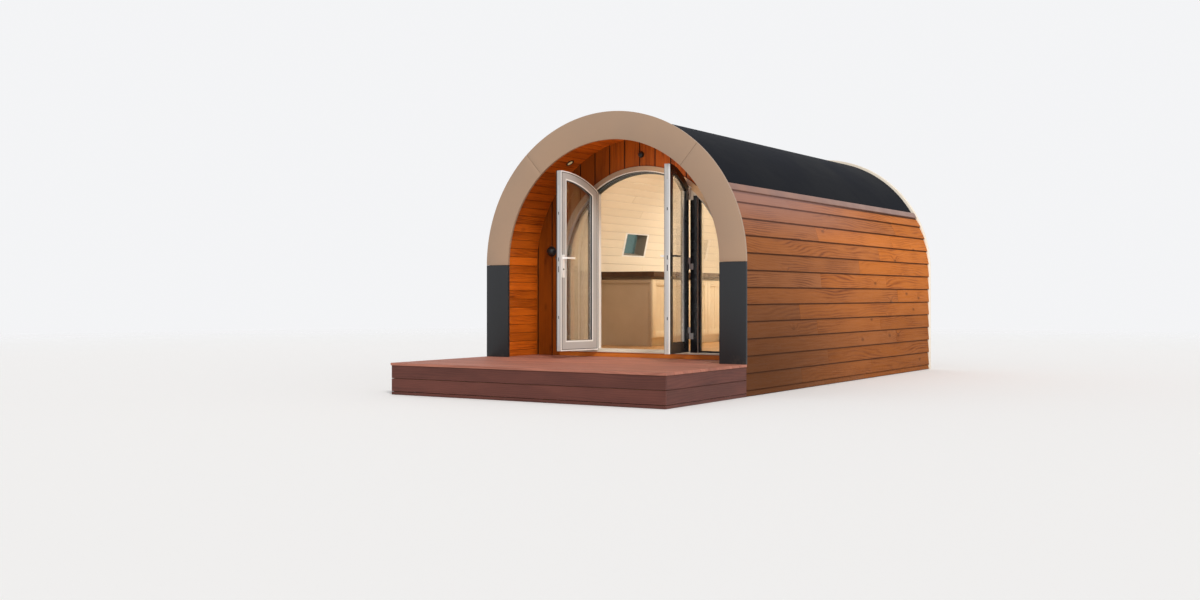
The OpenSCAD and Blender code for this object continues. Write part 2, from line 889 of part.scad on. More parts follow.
floor_bearers();
floor_panel();
room_floor();
left_wall();
right_wall();
left_vault();
crown_vault();
right_vault();
left_cladding();
right_cladding();
eave_trims();
roof_membrane();
left_leg_panel();
right_leg_panel();
left_fascia();
crown_fascia();
right_fascia();
left_porch_lining();
right_porch_lining();
porch_ceiling();
rear_wall();
rear_trim();
left_front_wall();
right_front_wall();
front_wall_head();
frame_head();
frame_posts();
threshold();
left_side_light();
right_side_light();
left_door_leaf();
left_door_glass();
left_door_handles();
right_door_leaf();
right_door_glass();
right_door_handles();
deck_boards();
deck_frame();
front_skirt();
side_skirts();
kitchen_units();
worktop();
side_window_frame();
side_window_glass();
porch_lights();
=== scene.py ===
import math
import random

import bmesh
import bpy
from mathutils import Matrix, Vector


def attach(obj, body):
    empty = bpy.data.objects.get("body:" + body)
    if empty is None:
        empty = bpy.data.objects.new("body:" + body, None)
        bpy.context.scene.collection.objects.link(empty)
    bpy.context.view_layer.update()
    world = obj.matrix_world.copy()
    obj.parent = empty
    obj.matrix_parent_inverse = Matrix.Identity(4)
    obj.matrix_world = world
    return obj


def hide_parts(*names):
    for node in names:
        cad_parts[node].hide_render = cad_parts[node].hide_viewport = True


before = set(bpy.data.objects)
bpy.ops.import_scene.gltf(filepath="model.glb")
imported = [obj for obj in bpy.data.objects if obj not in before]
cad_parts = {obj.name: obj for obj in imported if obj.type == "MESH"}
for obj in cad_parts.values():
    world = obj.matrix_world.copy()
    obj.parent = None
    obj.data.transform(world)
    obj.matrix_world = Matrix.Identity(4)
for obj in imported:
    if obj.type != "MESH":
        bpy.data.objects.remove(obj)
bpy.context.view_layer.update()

# Sizes of the pod in metres, as in the CAD model.
SPRING = 1.255
OUTER_R, TRIM_R, MEMBRANE_R = 1.500, 1.497, 1.466
BACK_R, CLAD_IN_R, ROOM_R, PORCH_R = 1.454, 1.448, 1.3247, 1.3094
FASCIA_IN_R, SCREEN_R, FRAME_IN_R, LEAF_R = 1.224, 1.015, 0.940, 0.955
FRONT_Y, DECK_Y, REAR_Y, FASCIA_T = -1.960, -3.460, 3.460, 0.030
SHELL_Y, CLAD_END_Y = -1.9297, 3.3947
WALL_Y, WALL_BACK_Y = -1.310, -1.190
FRAME_Y, STOP_Y, FRAME_BACK_Y = -1.320, -1.257, -1.210
REAR_WALL_Y = 3.275
DECK_Z, DECK_UNDER_Z, FLOOR_Z, SILL_Z, LEAF_FOOT_Z = 0.300, 0.275, 0.356, 0.364, 0.372
BOARD_T, COVER, LAP, FIRST_LAP = 0.020, 0.160, 0.025, 0.059
EAVE_FOOT, EAVE_TOP = 27, 29.717
UPRIGHT_PITCH, GROOVE, UPRIGHT_T = 0.182, 0.008, 0.018
HINGE_X, HINGE_Y, OPEN_ANGLE = 0.5725, -1.330, math.radians(100)
LEAF_X0, LEAF_X1, LEAF_T = 0.00325, 0.570, 0.058
LEAF_INSIDE_Y = FRAME_Y + LEAF_T
MULLION_X0, MULLION_X1 = 0.575, 0.650
STILE, BOTTOM_RAIL, BEAD = 0.075, 0.090, 0.014
LEAF_GLASS_Y, SIDE_GLASS_Y, GLASS_T, SEAL_T = -1.303, -1.277, 0.024, 0.0012
WINDOW_Y, WINDOW_ANGLE, WINDOW_L, WINDOW_H = 0.725, math.radians(13), 0.550, 0.335
KITCHEN_Y0, KITCHEN_Y1, KITCHEN_X, KITCHEN_BACK_X = -0.010, 1.790, -0.6144, -1.3170
KITCHEN_H, WORKTOP_T, UNITS = 0.802, 0.056, 4
# Seat gap between a thin piece and the solid beside it.
HAIR = 0.0003
FACING_FRONT = Matrix.Rotation(math.radians(90), 4, "X")


# ---------------------------------------------------------------- materials

def srgb(colour):
    """A colour written as a picture shows it, turned into the linear one a shader takes."""
    def channel(value):
        value /= 255
        return value / 12.92 if value <= 0.04045 else ((value + 0.055) / 1.055) ** 2.4
    return [channel(value) for value in colour] + [1.0]


def toned(colour, factor):
    return [min(1, c * factor) for c in colour[:3]] + [1]


class Wiring:
    """Adds nodes to a shader tree and joins them."""

    def __init__(self, tree):
        self.tree = tree

    def add(self, kind, settings=None, **inputs):
        node = self.tree.nodes.new(kind)
        for key, value in (settings or {}).items():
            setattr(node, key, value)
        for key, value in inputs.items():
            self.feed(node, key.replace("_", " "), value)
        return node

    def feed(self, node, socket, value):
        """Joins a socket or sets its value; i0, i1 and so on name a socket by its number."""
        target = node.inputs[int(socket[1:]) if socket[1:].isdigit() else socket]
        if isinstance(value, bpy.types.NodeSocket):
            self.tree.links.new(value, target)
        else:
            target.default_value = value

    def math(self, operation, first, second=0.0, clamp=False):
        settings = {"operation": operation, "use_clamp": clamp}
        return self.add("ShaderNodeMath", settings, i0=first, i1=second).outputs[0]

    def plus(self, total, *others):
        for other in others:
            total = self.math("ADD", total, other)
        return total

    def times(self, product, *others):
        for other in others:
            product = self.math("MULTIPLY", product, other)
        return product

    def minus(self, first, second):
        return self.math("SUBTRACT", first, second)

    def mix(self, factor, first, second, blend="MIX"):
        settings = {"data_type": "RGBA", "blend_type": blend}
        return self.add("ShaderNodeMix", settings, i0=factor, i6=first, i7=second).outputs[2]

    def shaded(self, colour, shade):
        grey = self.add("ShaderNodeCombineXYZ", X=shade, Y=shade, Z=shade).outputs[0]
        return self.mix(1.0, colour, grey, "MULTIPLY")

    def ramp(self, value, low, high):
        """Runs from 0 to 1 while the value runs from low to high."""
        settings = {"interpolation_type": "SMOOTHSTEP"}
        return self.add("ShaderNodeMapRange", settings, Value=value, From_Min=low, From_Max=high).outputs[0]

    def scaled(self, vector, x, y, z=1):
        return self.add("ShaderNodeMapping", Vector=vector, Scale=(x, y, z)).outputs[0]

    def noise(self, vector, scale, detail=3.0, rough=0.5):
        node = self.add("ShaderNodeTexNoise", Vector=vector, Scale=scale, Detail=detail, Roughness=rough)
        return node.outputs["Fac"]

    def split(self, vector):
        return self.add("ShaderNodeSeparateXYZ", Vector=vector).outputs

    def spot(self):
        """A point's place on the pod."""
        return self.add("ShaderNodeTexCoord").outputs["Object"]

    def grain(self):
        """A point's place on its board: x along it, y across it."""
        return self.add("ShaderNodeUVMap", {"uv_map": "UVMap"}).outputs[0]

    def marks(self):
        """A board's tone, its fading with painted shade, and the height across it."""
        colour = self.add("ShaderNodeAttribute", {"attribute_name": "board"}).outputs["Color"]
        return self.add("ShaderNodeSeparateColor", Color=colour).outputs

    def use(self, group, **inputs):
        return self.add("ShaderNodeGroup", {"node_tree": group}, **inputs).outputs


class Finish(Wiring):
    """The wiring of a new material, with its shader."""

    def __init__(self, name):
        self.material = bpy.data.materials.new(name)
        self.material.use_nodes = True
        super().__init__(self.material.node_tree)
        self.shader = next(n for n in self.tree.nodes if n.type == "BSDF_PRINCIPLED")

    def relief(self, height, strength, distance):
        bump = self.add("ShaderNodeBump", Height=height, Strength=strength, Distance=distance)
        self.feed(self.shader, "Normal", bump.outputs[0])

    def shade(self, **sockets):
        """Feeds the shader and hands over the material."""
        for name, value in sockets.items():
            self.feed(self.shader, name.replace("_", " "), value)
        return self.material


def shared_effect(name, inputs, outputs):
    """An empty node group with named inputs and outputs, and its wiring."""
    tree = bpy.data.node_groups.new(name, "ShaderNodeTree")
    tree.interface.new_socket("Vector", in_out="INPUT", socket_type="NodeSocketVector")
    for label, value in inputs.items():
        tree.interface.new_socket(label, in_out="INPUT", socket_type="NodeSocketFloat").default_value = value
    for label in outputs:
        tree.interface.new_socket(label, in_out="OUTPUT", socket_type="NodeSocketFloat")
    w = Wiring(tree)
    return tree, w, w.add("NodeGroupInput").outputs, w.add("NodeGroupOutput")


def timber_figure():
    """Streaks, growth rings and knots of a sawn board, on coordinates that run along it (x) and across it (y)."""
    tree, w, given, out = shared_effect(
        "timber figure", {"Ring Width": 0.012, "Knots": 1.0}, ["Streaks", "Rings", "Knot"])
    place = given["Vector"]
    flat = w.scaled(place, 2.3, 5.2)
    cells = w.add("ShaderNodeTexVoronoi", {"voronoi_dimensions": "2D"}, Vector=flat, Scale=1.0)
    chance = w.add("ShaderNodeSeparateColor", Color=cells.outputs["Color"]).outputs[0]
    near = w.times(w.math("GREATER_THAN", chance, 0.84), given["Knots"])
    eye = w.minus(1.0, w.ramp(cells.outputs["Distance"], 0.03, 0.15))
    halo = w.minus(1.0, w.ramp(cells.outputs["Distance"], 0.0, 0.42))
    drift = w.noise(w.scaled(place, 0.42, 2.6), 1.0, 2.0)
    flame = w.noise(w.scaled(place, 2.0, 9.0), 1.0, 3.0)
    bent = w.plus(w.split(place)[1], w.times(drift, 0.36), w.times(flame, 0.014), w.times(halo, near, 0.055))
    wave = w.math("SINE", w.times(w.math("DIVIDE", bent, given["Ring Width"]), math.tau))
    fine = w.noise(w.scaled(place, 5.0, 210.0), 1.0, 3.0, 0.6)
    broad = w.noise(w.scaled(place, 1.6, 42.0), 1.0, 4.0, 0.6)
    w.feed(out, "Streaks", w.ramp(w.plus(w.times(fine, 0.5), w.times(broad, 0.5)), 0.36, 0.64))
    w.feed(out, "Rings", w.math("POWER", w.times(w.plus(wave, 1.0), 0.5), 1.6))
    w.feed(out, "Knot", w.times(eye, near))
    return tree


def surface_soil():
    """Dust that thins out upwards from the ground, faint cloudy patches, and a fine tooth."""
    tree, w, given, out = shared_effect(
        "surface soil", {"Soil Height": 0.35, "Patch Size": 2.2}, ["Soil", "Patches", "Grit"])
    place = given["Vector"]
    scatter = w.times(w.noise(place, 5.0, 5.0, 0.65), given["Soil Height"])
    low = w.math("SUBTRACT", 1.0, w.math("DIVIDE", w.split(place)[2], w.times(scatter, 2.0)), clamp=True)
    w.feed(out, "Soil", w.times(low, w.ramp(w.noise(place, 38.0, 4.0), 0.35, 0.7)))
    w.feed(out, "Patches", w.ramp(w.noise(place, given["Patch Size"], 4.0, 0.55), 0.3, 0.7))
    w.feed(out, "Grit", w.noise(place, 420.0, 2.0, 0.6))
    return tree


TIMBER_FIGURE = timber_figure()
SURFACE_SOIL = surface_soil()


def timber(name, pale, deep, rough=0.6, faded_and_shaded=None, rings=0.45, streaks=0.5, knots=1.0, tone=0.3,
           ring_width=0.012, depth=0.0006, coat=0.0, edge=(), damp=0.0, sky_sheen=None, solid=False, gloss=0.22):
    """Boards: a pale and a deep colour along the figure, a tone for each board, and a second colour for some
    boards, which stands partly for their fading and partly for painted shade.

    Each edge band darkens a board from one height across it to another, as painted shade in a lap or groove, and
    damp rises from the ground. A mauve sheen high up near the porch is a painted sky reflection, and darkening
    towards the ground and under the fascia is painted shade. A solid's figure runs along the pod without a board's
    own marks."""
    w = Finish(name)
    pale, deep = srgb(pale), srgb(deep)
    dark = toned(pale, 0.16) if faded_and_shaded else toned(deep, 0.22)
    across, along, up = w.split(w.spot())
    place = w.grain()
    if solid:
        place = w.add("ShaderNodeCombineXYZ", X=along, Y=w.plus(across, w.times(up, 0.7))).outputs[0]
    figure = w.use(TIMBER_FIGURE, Vector=place, Ring_Width=ring_width, Knots=knots)
    board_tone, board_fade_and_shade, height = w.marks()
    light = pale
    if faded_and_shaded:
        light = w.mix(board_fade_and_shade, pale, srgb(faded_and_shaded[0]))
        deep = w.mix(board_fade_and_shade, deep, srgb(faded_and_shaded[1]))
    cloud = w.noise(w.scaled(place, 1.4, 5.5), 1.0, 3.0)
    bold = w.ramp(w.noise(w.scaled(place, 0.9, 2.4), 1.0, 2.0), 0.40, 0.62)
    amount = w.times(figure["Rings"], rings, w.plus(0.2, w.times(bold, 0.8)))
    amount = w.times(w.plus(amount, w.times(figure["Streaks"], streaks)), w.ramp(cloud, 0.25, 0.7))
    colour = w.mix(w.math("MINIMUM", amount, 1.0), light, deep)
    shade = w.plus(1.0 - tone / 2, w.times(board_tone, tone))
    colour = w.shaded(colour, w.times(shade, w.plus(0.93, w.times(cloud, 0.14))))
    colour = w.mix(w.times(figure["Knot"], 0.62), colour, dark)
    # Edge bands: painted shade in the laps and grooves between boards, with some darker end grain at a lapped
    # board's foot.
    for start, end, weight in edge:
        colour = w.mix(w.times(w.ramp(height, start, end), weight), colour, toned(dark, 0.55))
    # A painted sky reflection, strongest high up near the porch and faint over the whole front, then painted shade
    # towards the ground and under the fascia.
    if sky_sheen:
        front = w.times(w.plus(0.12, w.times(w.ramp(up, 1.4, 1.95), 0.88)), w.ramp(along, 2.4, -1.0))
        colour = w.mix(w.times(front, 0.8), colour, srgb(sky_sheen))
        foot = w.times(w.ramp(up, 1.40, 0.25), 0.52)
        fascia_shade = w.times(w.ramp(up, 1.95, 1.35), w.ramp(along, 1.4, -1.7), 0.44)
        colour = w.mix(w.plus(foot, fascia_shade), colour, dark)
    if damp:
        ground = w.use(SURFACE_SOIL, Vector=w.spot(), Soil_Height=0.22)
        colour = w.mix(w.times(ground["Soil"], damp), colour, dark)
    w.relief(w.minus(w.times(figure["Rings"], 0.5), figure["Streaks"]), 0.6, depth)
    return w.shade(Base_Color=colour, Roughness=w.plus(rough - 0.06, w.times(figure["Streaks"], 0.14)),
                   Coat_Weight=coat, Coat_Roughness=0.25, Specular_IOR_Level=gloss)


def painted(name, colour, tint, rough=0.4, soil=0.0, grit=0.15, patch_size=2.2, gloss=0.45):
    """Paint or foil: nearly even, with faint cloudy patches, a fine tooth, and dust near the ground."""
    w = Finish(name)
    marks = w.use(SURFACE_SOIL, Vector=w.spot(), Soil_Height=0.35, Patch_Size=patch_size)
    shown = w.mix(marks["Patches"], srgb(colour), srgb(tint))
    if soil:
        shown = w.mix(w.times(marks["Soil"], soil), shown, srgb((150, 132, 110)))
    w.relief(marks["Grit"], grit, 0.0004)
    return w.shade(Base_Color=shown, Roughness=w.plus(rough - 0.05, w.times(marks["Patches"], 0.12)),
                   Specular_IOR_Level=gloss)


def pressed_board(name, colour, dark, rough=0.62):
    """Wood-plastic decking: brushed streaks and shallow grooves along the board, with a dusty bloom."""
    w = Finish(name)
    colour, place = srgb(colour), w.grain()
    brushed = w.noise(w.scaled(place, 7.0, 260.0), 1.0, 4.0, 0.65)
    embossed = w.use(TIMBER_FIGURE, Vector=place, Ring_Width=0.020, Knots=0.35)
    groove = w.math("SINE", w.times(w.split(place)[1], math.tau / 0.0073))
    bloom = w.ramp(w.noise(w.scaled(place, 1.8, 6.0), 1.0, 4.0), 0.35, 0.75)
    shown = w.mix(w.plus(w.times(brushed, 0.75), w.times(embossed["Rings"], 0.3)), colour, srgb(dark))
    shown = w.mix(w.times(bloom, 0.28), shown, toned(colour, 1.55))
    shown = w.shaded(shown, w.plus(0.90, w.times(w.marks()[0], 0.2)))
    w.relief(w.plus(w.times(groove, 0.35), w.times(brushed, 0.8)), 0.55, 0.0007)
    return w.shade(Base_Color=shown, Roughness=w.plus(rough - 0.1, w.times(brushed, 0.2)), Specular_IOR_Level=0.3)


def membrane():
    """Roofing sheet: matt charcoal with soft ripples, lighter high up as a painted sheen."""
    w = Finish("roof sheet")
    place = w.spot()
    marks = w.use(SURFACE_SOIL, Vector=place, Patch_Size=1.1)
    # A painted sheen that lightens the sheet high up.
    crown_sheen = w.times(w.ramp(w.split(place)[2], 2.1, 2.75), 0.35)
    shown = w.mix(marks["Patches"], srgb((17, 19, 24)), srgb((23, 25, 31)))
    shown = w.mix(w.times(crown_sheen, marks["Patches"]), shown, srgb((36, 39, 47)))
    ripple = w.noise(w.scaled(place, 2.2, 0.8, 2.2), 2.0, 3.0)
    w.relief(w.plus(ripple, w.times(marks["Grit"], 0.02)), 0.45, 0.012)
    return w.shade(Base_Color=shown, Roughness=w.plus(0.7, w.times(marks["Patches"], 0.14)),
                   Specular_IOR_Level=0.06)


def glass(name, tint, solid):
    """Glass with a faintly uneven tint; solid is the share that isn't simply seen through."""
    w = Finish(name)
    smear = w.noise(w.scaled(w.spot(), 3.0, 3.0, 1.2), 3.0, 4.0)
    return w.shade(Base_Color=w.mix(smear, tint, toned(tint, 0.96)), Roughness=0.0, Transmission_Weight=1.0,
                   IOR=1.45, Alpha=solid)


def brushed_metal(name):
    """A material with the fine streaks of brushed metal, and the streaks."""
    w = Finish(name)
    streak = w.noise(w.scaled(w.spot(), 900, 900, 25), 1.0, 2.0)
    w.relief(streak, 0.15, 0.0002)
    return w, streak


def steel():
    w, streak = brushed_metal("brushed steel")
    colour = srgb((205, 205, 206))
    return w.shade(Base_Color=w.mix(streak, colour, toned(colour, 0.82)),
                   Roughness=w.plus(0.23, w.times(streak, 0.14)), Metallic=1.0)


def handle_metal():
    """Pale satin metal on the leaves' inner side and black on the outer side, as the doors stand open."""
    w, streak = brushed_metal("handle metal")
    across, along = w.split(w.spot())[:2]
    facing = Vector((math.sin(OPEN_ANGLE), -math.cos(OPEN_ANGLE)))
    inset = FRAME_Y + LEAF_T / 2 - HINGE_Y - facing.x * HINGE_X - facing.y * HINGE_Y
    reach = w.plus(w.times(w.math("ABSOLUTE", across), facing.x), w.times(along, facing.y), inset)
    outside = w.math("GREATER_THAN", reach, 0.0)
    satin = w.mix(streak, srgb((252, 252, 252)), srgb((242, 242, 243)))
    return w.shade(Base_Color=w.mix(outside, satin, srgb((26, 27, 29))),
                   Metallic=w.times(w.minus(1.0, outside), 0.3), Roughness=w.plus(0.29, w.times(streak, 0.14)))


def lamp_lens():
    w = Finish("lamp lens")
    cells = w.add("ShaderNodeTexVoronoi", Vector=w.spot(), Scale=260.0)
    glow = w.mix(cells.outputs["Distance"], srgb((226, 206, 158)), srgb((206, 184, 134)))
    return w.shade(Base_Color=glow, Emission_Color=glow, Emission_Strength=0.28, Roughness=0.3)


# Its second colour is partly fading and partly painted shade towards the front; the first edge band is painted
# shadow under the lap above, the second partly darker end grain and partly painted shade at the foot; the mauve
# colour is a painted sky reflection.
THERMOWOOD = timber("oiled thermowood", (200, 114, 40), (124, 56, 16), faded_and_shaded=((170, 108, 64), (96, 52, 30)),
                    rings=0.78, streaks=0.34, tone=0.2, ring_width=0.026, damp=0.35, gloss=0.1,
                    edge=[(0.79, 0.85, 0.95), (0.03, 0.0, 0.6)], sky_sheen=(150, 116, 108))
REAR_WOOD = timber("upright thermowood", (196, 114, 50), (116, 54, 20), faded_and_shaded=((168, 106, 66), (92, 48, 28)),
                   rings=0.8, streaks=0.36, tone=0.24, ring_width=0.026, damp=0.35)
STAIN = {"rings": 0.36, "streaks": 0.66, "knots": 0.5, "depth": 0.0004, "ring_width": 0.020}
# The edge bands of the porch and wall boards are painted shade in the grooves between them; the wall boards are a
# darker copy of the porch stain, as painted shade inside the porch.
PORCH_WOOD = timber("stained porch boards", (204, 100, 22), (84, 24, 3), 0.36, tone=0.42, coat=0.12,
                    edge=[(0.05, 0.0, 0.7), (0.95, 1.0, 0.7)], **STAIN)
SHADED_WALL_WOOD = timber("stained wall boards in painted shade", (158, 80, 14), (74, 26, 3), 0.42, tone=0.3, coat=0.04,
                   edge=[(0.045, 0.0, 0.7), (0.955, 1.0, 0.7)], **STAIN)
OAK = timber("oak planks", (196, 150, 100), (150, 104, 62), 0.42, rings=0.35, streaks=0.45, knots=0.5, tone=0.22,
             coat=0.15, depth=0.0003)
WORKTOP_WOOD = timber("oiled worktop", (82, 54, 36), (44, 27, 18), 0.32, rings=0.5, knots=0.3, coat=0.2,
                      depth=0.0002)
SILL_WOOD = timber("stained sill strip", (206, 118, 44), (146, 70, 20), 0.4, rings=0.4, streaks=0.4, knots=0.2,
                   tone=0.1, depth=0.0003)
CREAM = {"pale": (240, 228, 204), "deep": (227, 212, 184), "rough": 0.5, "rings": 0.25, "streaks": 0.3,
         "knots": 0.0, "tone": 0.05, "depth": 0.0002}
# The cream boards' edge bands are painted shade in the grooves between them.
CREAM_BOARD = timber("cream interior boards", edge=[(0.055, 0.0, 0.24), (0.945, 1.0, 0.24)], **CREAM)
CREAM_LINING = timber("cream lining", solid=True, **CREAM)
SAWN_TIMBER = timber("sawn framing", (196, 160, 112), (150, 112, 70), 0.75, rings=0.5, tone=0.2, depth=0.0008,
                     solid=True)
DECK_BOARD = pressed_board("deck composite", (180, 118, 98), (126, 74, 60))
# The skirt is a darker copy of the deck composite: painted shade on the deck's front and sides.
SHADED_SKIRT_BOARD = pressed_board("skirt composite in painted shade", (104, 58, 48), (62, 31, 26), 0.6)
FASCIA = painted("taupe fascia", (164, 136, 112), (158, 133, 112), 0.42, patch_size=1.2)
LEG = painted("anthracite leg panel", (38, 40, 43), (39.28, 41.33, 44.4), 0.46, soil=0.25, gloss=0.3)
EAVE = painted("eave flashing", (146, 108, 92), (136, 104, 94), 0.45, patch_size=3.0, gloss=0.35)
REAR_TRIM = painted("cream rear trim", (246, 236, 220), (238, 226, 208), soil=0.35)
DARK_FRAME = painted("anthracite frame", (28, 30, 33), (34, 36, 39), 0.3, grit=0.1)
# The taupe of the arch head is a painted sky reflection on its dark paint; the uprights beside the doors keep the
# anthracite.
HEAD_FRAME_REFLECTION = painted("frame head with painted sky reflection", (172, 150, 126), (160, 140, 118), 0.36, grit=0.1)
SLATE_FRAME = painted("slate frame lining", (44, 60, 58), (50, 66, 63), grit=0.1)
PALE_FRAME = painted("pale grey frame", (182, 181, 180), (172, 171, 170), 0.34, grit=0.08)
# The white edge strips and beads are painted highlights along the pale frame's edges.
EDGE_HIGHLIGHT = painted("white frame edge, painted highlight", (236, 236, 234), (228, 228, 227), 0.3, grit=0.06)
# The dark strip is painted shade in the recess under the worktop.
FINGER_RECESS_SHADE = painted("finger recess in painted shade", (120, 98, 78), (110, 90, 72), 0.5, grit=0.1)
# The reveal's grey is painted shade inside the window's opening.
SHADED_REVEAL = painted("window reveal in painted shade", (156, 146, 132), (148, 138, 125), 0.5, grit=0.1)
SILL = painted("white sill", (222, 214, 200), (210, 202, 188), 0.36, grit=0.1)
KITCHEN = painted("cream kitchen fronts", (242, 226, 192), (235, 218, 183), 0.38, grit=0.08)
# The end panel's beige is partly its own colour and partly painted shade.
KITCHEN_END_SHADED = painted("beige end panel, partly painted shade", (194, 172, 146), (185, 163, 137), 0.45, grit=0.1)
WINDOW_PAINT = painted("white window paint", (248, 246, 240), (240, 237, 230), grit=0.1)
BLACK = painted("black fittings", (24, 25, 26), (30, 31, 33), 0.38, grit=0.2)
RUBBER = painted("black gasket", (18, 19, 20), (24, 25, 26), 0.7, grit=0.3)
SMOKED = painted("smoked lamp glass", (60, 57, 54), (52, 50, 48), 0.18, grit=0.05)
ROOF = membrane()
GLASS = glass("clear glass", (0.93, 0.97, 0.95, 1), 0.36)
# The pane's deep green is painted: it stands for the darker garden seen through it.
WINDOW_GLASS_PAINTED_DARK = glass("glass with painted dark view", (0.12, 0.20, 0.175, 1), 0.9)
STEEL = steel()
HANDLE = handle_metal()
LENS = lamp_lens()


# ---------------------------------------------------------------- making pieces

def start_mesh():
    mesh = bmesh.new()
    mesh.loops.layers.uv.new("UVMap")
    mesh.loops.layers.float_color.new("board")
    return mesh


def paint_board(mesh, tone, fade_and_shade, shift):
    """Lays the grain along x and marks the board's tone and the height across it, in the board's own place."""
    uv, mark = mesh.loops.layers.uv["UVMap"], mesh.loops.layers.float_color["board"]
    foot = min(v.co.y for v in mesh.verts)
    width = max(v.co.y for v in mesh.verts) - foot
    for face in mesh.faces:
        for loop in face.loops:
            x, y, z = loop.vert.co
            loop[uv].uv = (x + shift[0], y + 0.7 * z + shift[1])
            loop[mark] = (tone, fade_and_shade, (y - foot) / width, 1)


def take_in(mesh, part, place=None):
    """Moves a finished part into the piece's mesh."""
    if place is not None:
        bmesh.ops.transform(part, matrix=place, verts=part.verts)
    shell = bpy.data.meshes.new("part")
    part.to_mesh(shell)
    part.free()
    mesh.from_mesh(shell)
    bpy.data.meshes.remove(shell)


def soften(mesh, width, segments=1):
    """Rounds every edge that turns by more than 40 degrees."""
    edges = [e for e in mesh.edges if len(e.link_faces) == 2 and e.calc_face_angle(0) > math.radians(40)]
    bmesh.ops.bevel(mesh, geom=edges, offset=width, offset_type="OFFSET", segments=segments, profile=0.5,
                    affect="EDGES", material=-1, clamp_overlap=True)


def block(low, high, width=0.0015, segments=1):
    """A softened block between two corners."""
    mesh = start_mesh()
    middle = Matrix.Translation((Vector(low) + Vector(high)) / 2)
    size = Matrix.Diagonal([b - a for a, b in zip(low, high)] + [1])
    bmesh.ops.create_cube(mesh, size=1, matrix=middle @ size)
    if width:
        soften(mesh, width, segments)
    return mesh


def mirrored(mesh, side):
    if side < 0:
        bmesh.ops.scale(mesh, vec=(-1, 1, 1), verts=mesh.verts)
    return mesh


def pair_of_blocks(mesh, *corners_and_softness):
    """A block on the right-hand side and its twin on the left."""
    for side in (1, -1):
        take_in(mesh, mirrored(block(*corners_and_softness), side))


def new_verts(geom):
    return [v for v in geom if isinstance(v, bmesh.types.BMVert)]


def pull(mesh, faces, step):
    """Extrudes faces by a step."""
    geom = bmesh.ops.extrude_face_region(mesh, geom=faces)["geom"]
    bmesh.ops.translate(mesh, vec=step, verts=new_verts(geom))


def thicken(mesh, depth):
    """Gives flat faces a depth along +y."""
    pull(mesh, mesh.faces[:], (0, depth, 0))
    bmesh.ops.recalc_face_normals(mesh, faces=mesh.faces)


def cut(mesh, place, normal, faces=None, clear=False):
    """Cuts faces, or all of the mesh, along a plane, and may clear what lies beyond it."""
    if faces is None:
        geom = mesh.verts[:] + mesh.edges[:] + mesh.faces[:]
    else:
        geom = list({v for f in faces for v in f.verts} | {e for f in faces for e in f.edges}) + faces
    bmesh.ops.bisect_plane(mesh, geom=geom, plane_co=place, plane_no=normal, clear_outer=clear)


def board(mesh, place, x0, x1, y0, y1, thick, tone, fade_and_shade=0.0, shift=(0, 0), edge=0.0012, notch=None):
    """A board on its place's x (along the grain) and y (across), its face at z = 0; a notch cuts one edge."""
    if notch:
        nx0, nx1, (low, high) = notch
        corners = [(x0, y0), (x1, y0), (x1, y1), (x0, y1)]
        if low <= y0:
            outline = corners[:1] + [(nx0, y0), (nx0, high), (nx1, high), (nx1, y0)] + corners[1:]
        else:
            outline = corners[:3] + [(nx1, y1), (nx1, low), (nx0, low), (nx0, y1)] + corners[3:]
        part = start_mesh()
        pull(part, [part.faces.new([part.verts.new((x, y, -thick)) for x, y in outline])], (0, 0, thick))
        bmesh.ops.recalc_face_normals(part, faces=part.faces)
        soften(part, edge)
    else:
        part = block((x0, y0, -thick), (x1, y1, 0), edge)
    paint_board(part, tone, fade_and_shade, shift)
    take_in(mesh, part, place)


def figure_shift(rng):
    return rng.uniform(0, 60), rng.uniform(0, 30)


def plank(mesh, place, x0, x1, y0, y1, thick, rng, edge):
    """A board with a tone and a stretch of figure of its own."""
    board(mesh, place, x0, x1, y0, y1, thick, rng.random(), 0, figure_shift(rng), edge)


def lay(origin, across, outward):
    """The place of a board: y across it, z out of its face, x along it."""
    across, outward = Vector(across).normalized(), Vector(outward).normalized()
    along = across.cross(outward)
    return Matrix((
        (along.x, across.x, outward.x, origin[0]),
        (along.y, across.y, outward.y, origin[1]),
        (along.z, across.z, outward.z, origin[2]),
        (0, 0, 0, 1)))


def stations(place, *ys):
    """Where stations along the pod lie on a board's own x."""
    return sorted((place.inverted() @ Vector((0, y, 0))).x for y in ys)


def arch_bar(r0, r1, y0, y1, foot=None, a0=0, a1=180, steps=72):
    """A bar swept round the springing's centre between two angles, with straight legs down to the foot."""
    mesh = start_mesh()
    turn = Matrix.Translation((0, 0, SPRING)) @ Matrix.Rotation(-math.radians(a0), 4, "Y")
    corners = [(r0, y0), (r1, y0), (r1, y1), (r0, y1)]
    face = mesh.faces.new([mesh.verts.new(turn @ Vector((r, y, 0))) for r, y in corners])
    if foot is not None:
        raised = bmesh.ops.extrude_face_region(mesh, geom=[face])["geom"]
        bmesh.ops.translate(mesh, vec=(0, 0, foot - SPRING), verts=face.verts)
        face = next(f for f in raised if isinstance(f, bmesh.types.BMFace))
    swept = bmesh.ops.spin(mesh, geom=[face], cent=(0, 0, SPRING), axis=(0, -1, 0), angle=math.radians(a1 - a0),
                           steps=steps, use_merge=False, use_duplicate=False)["geom_last"]
    if foot is not None:
        pull(mesh, [f for f in swept if isinstance(f, bmesh.types.BMFace)][:1], (0, 0, foot - SPRING))
    inner = [f for f in mesh.faces if all(len(e.link_faces) > 2 for e in f.edges)]
    bmesh.ops.delete(mesh, geom=inner, context="FACES_ONLY")
    bmesh.ops.remove_doubles(mesh, verts=mesh.verts, dist=1e-6)
    bmesh.ops.recalc_face_normals(mesh, faces=mesh.faces)
    return mesh


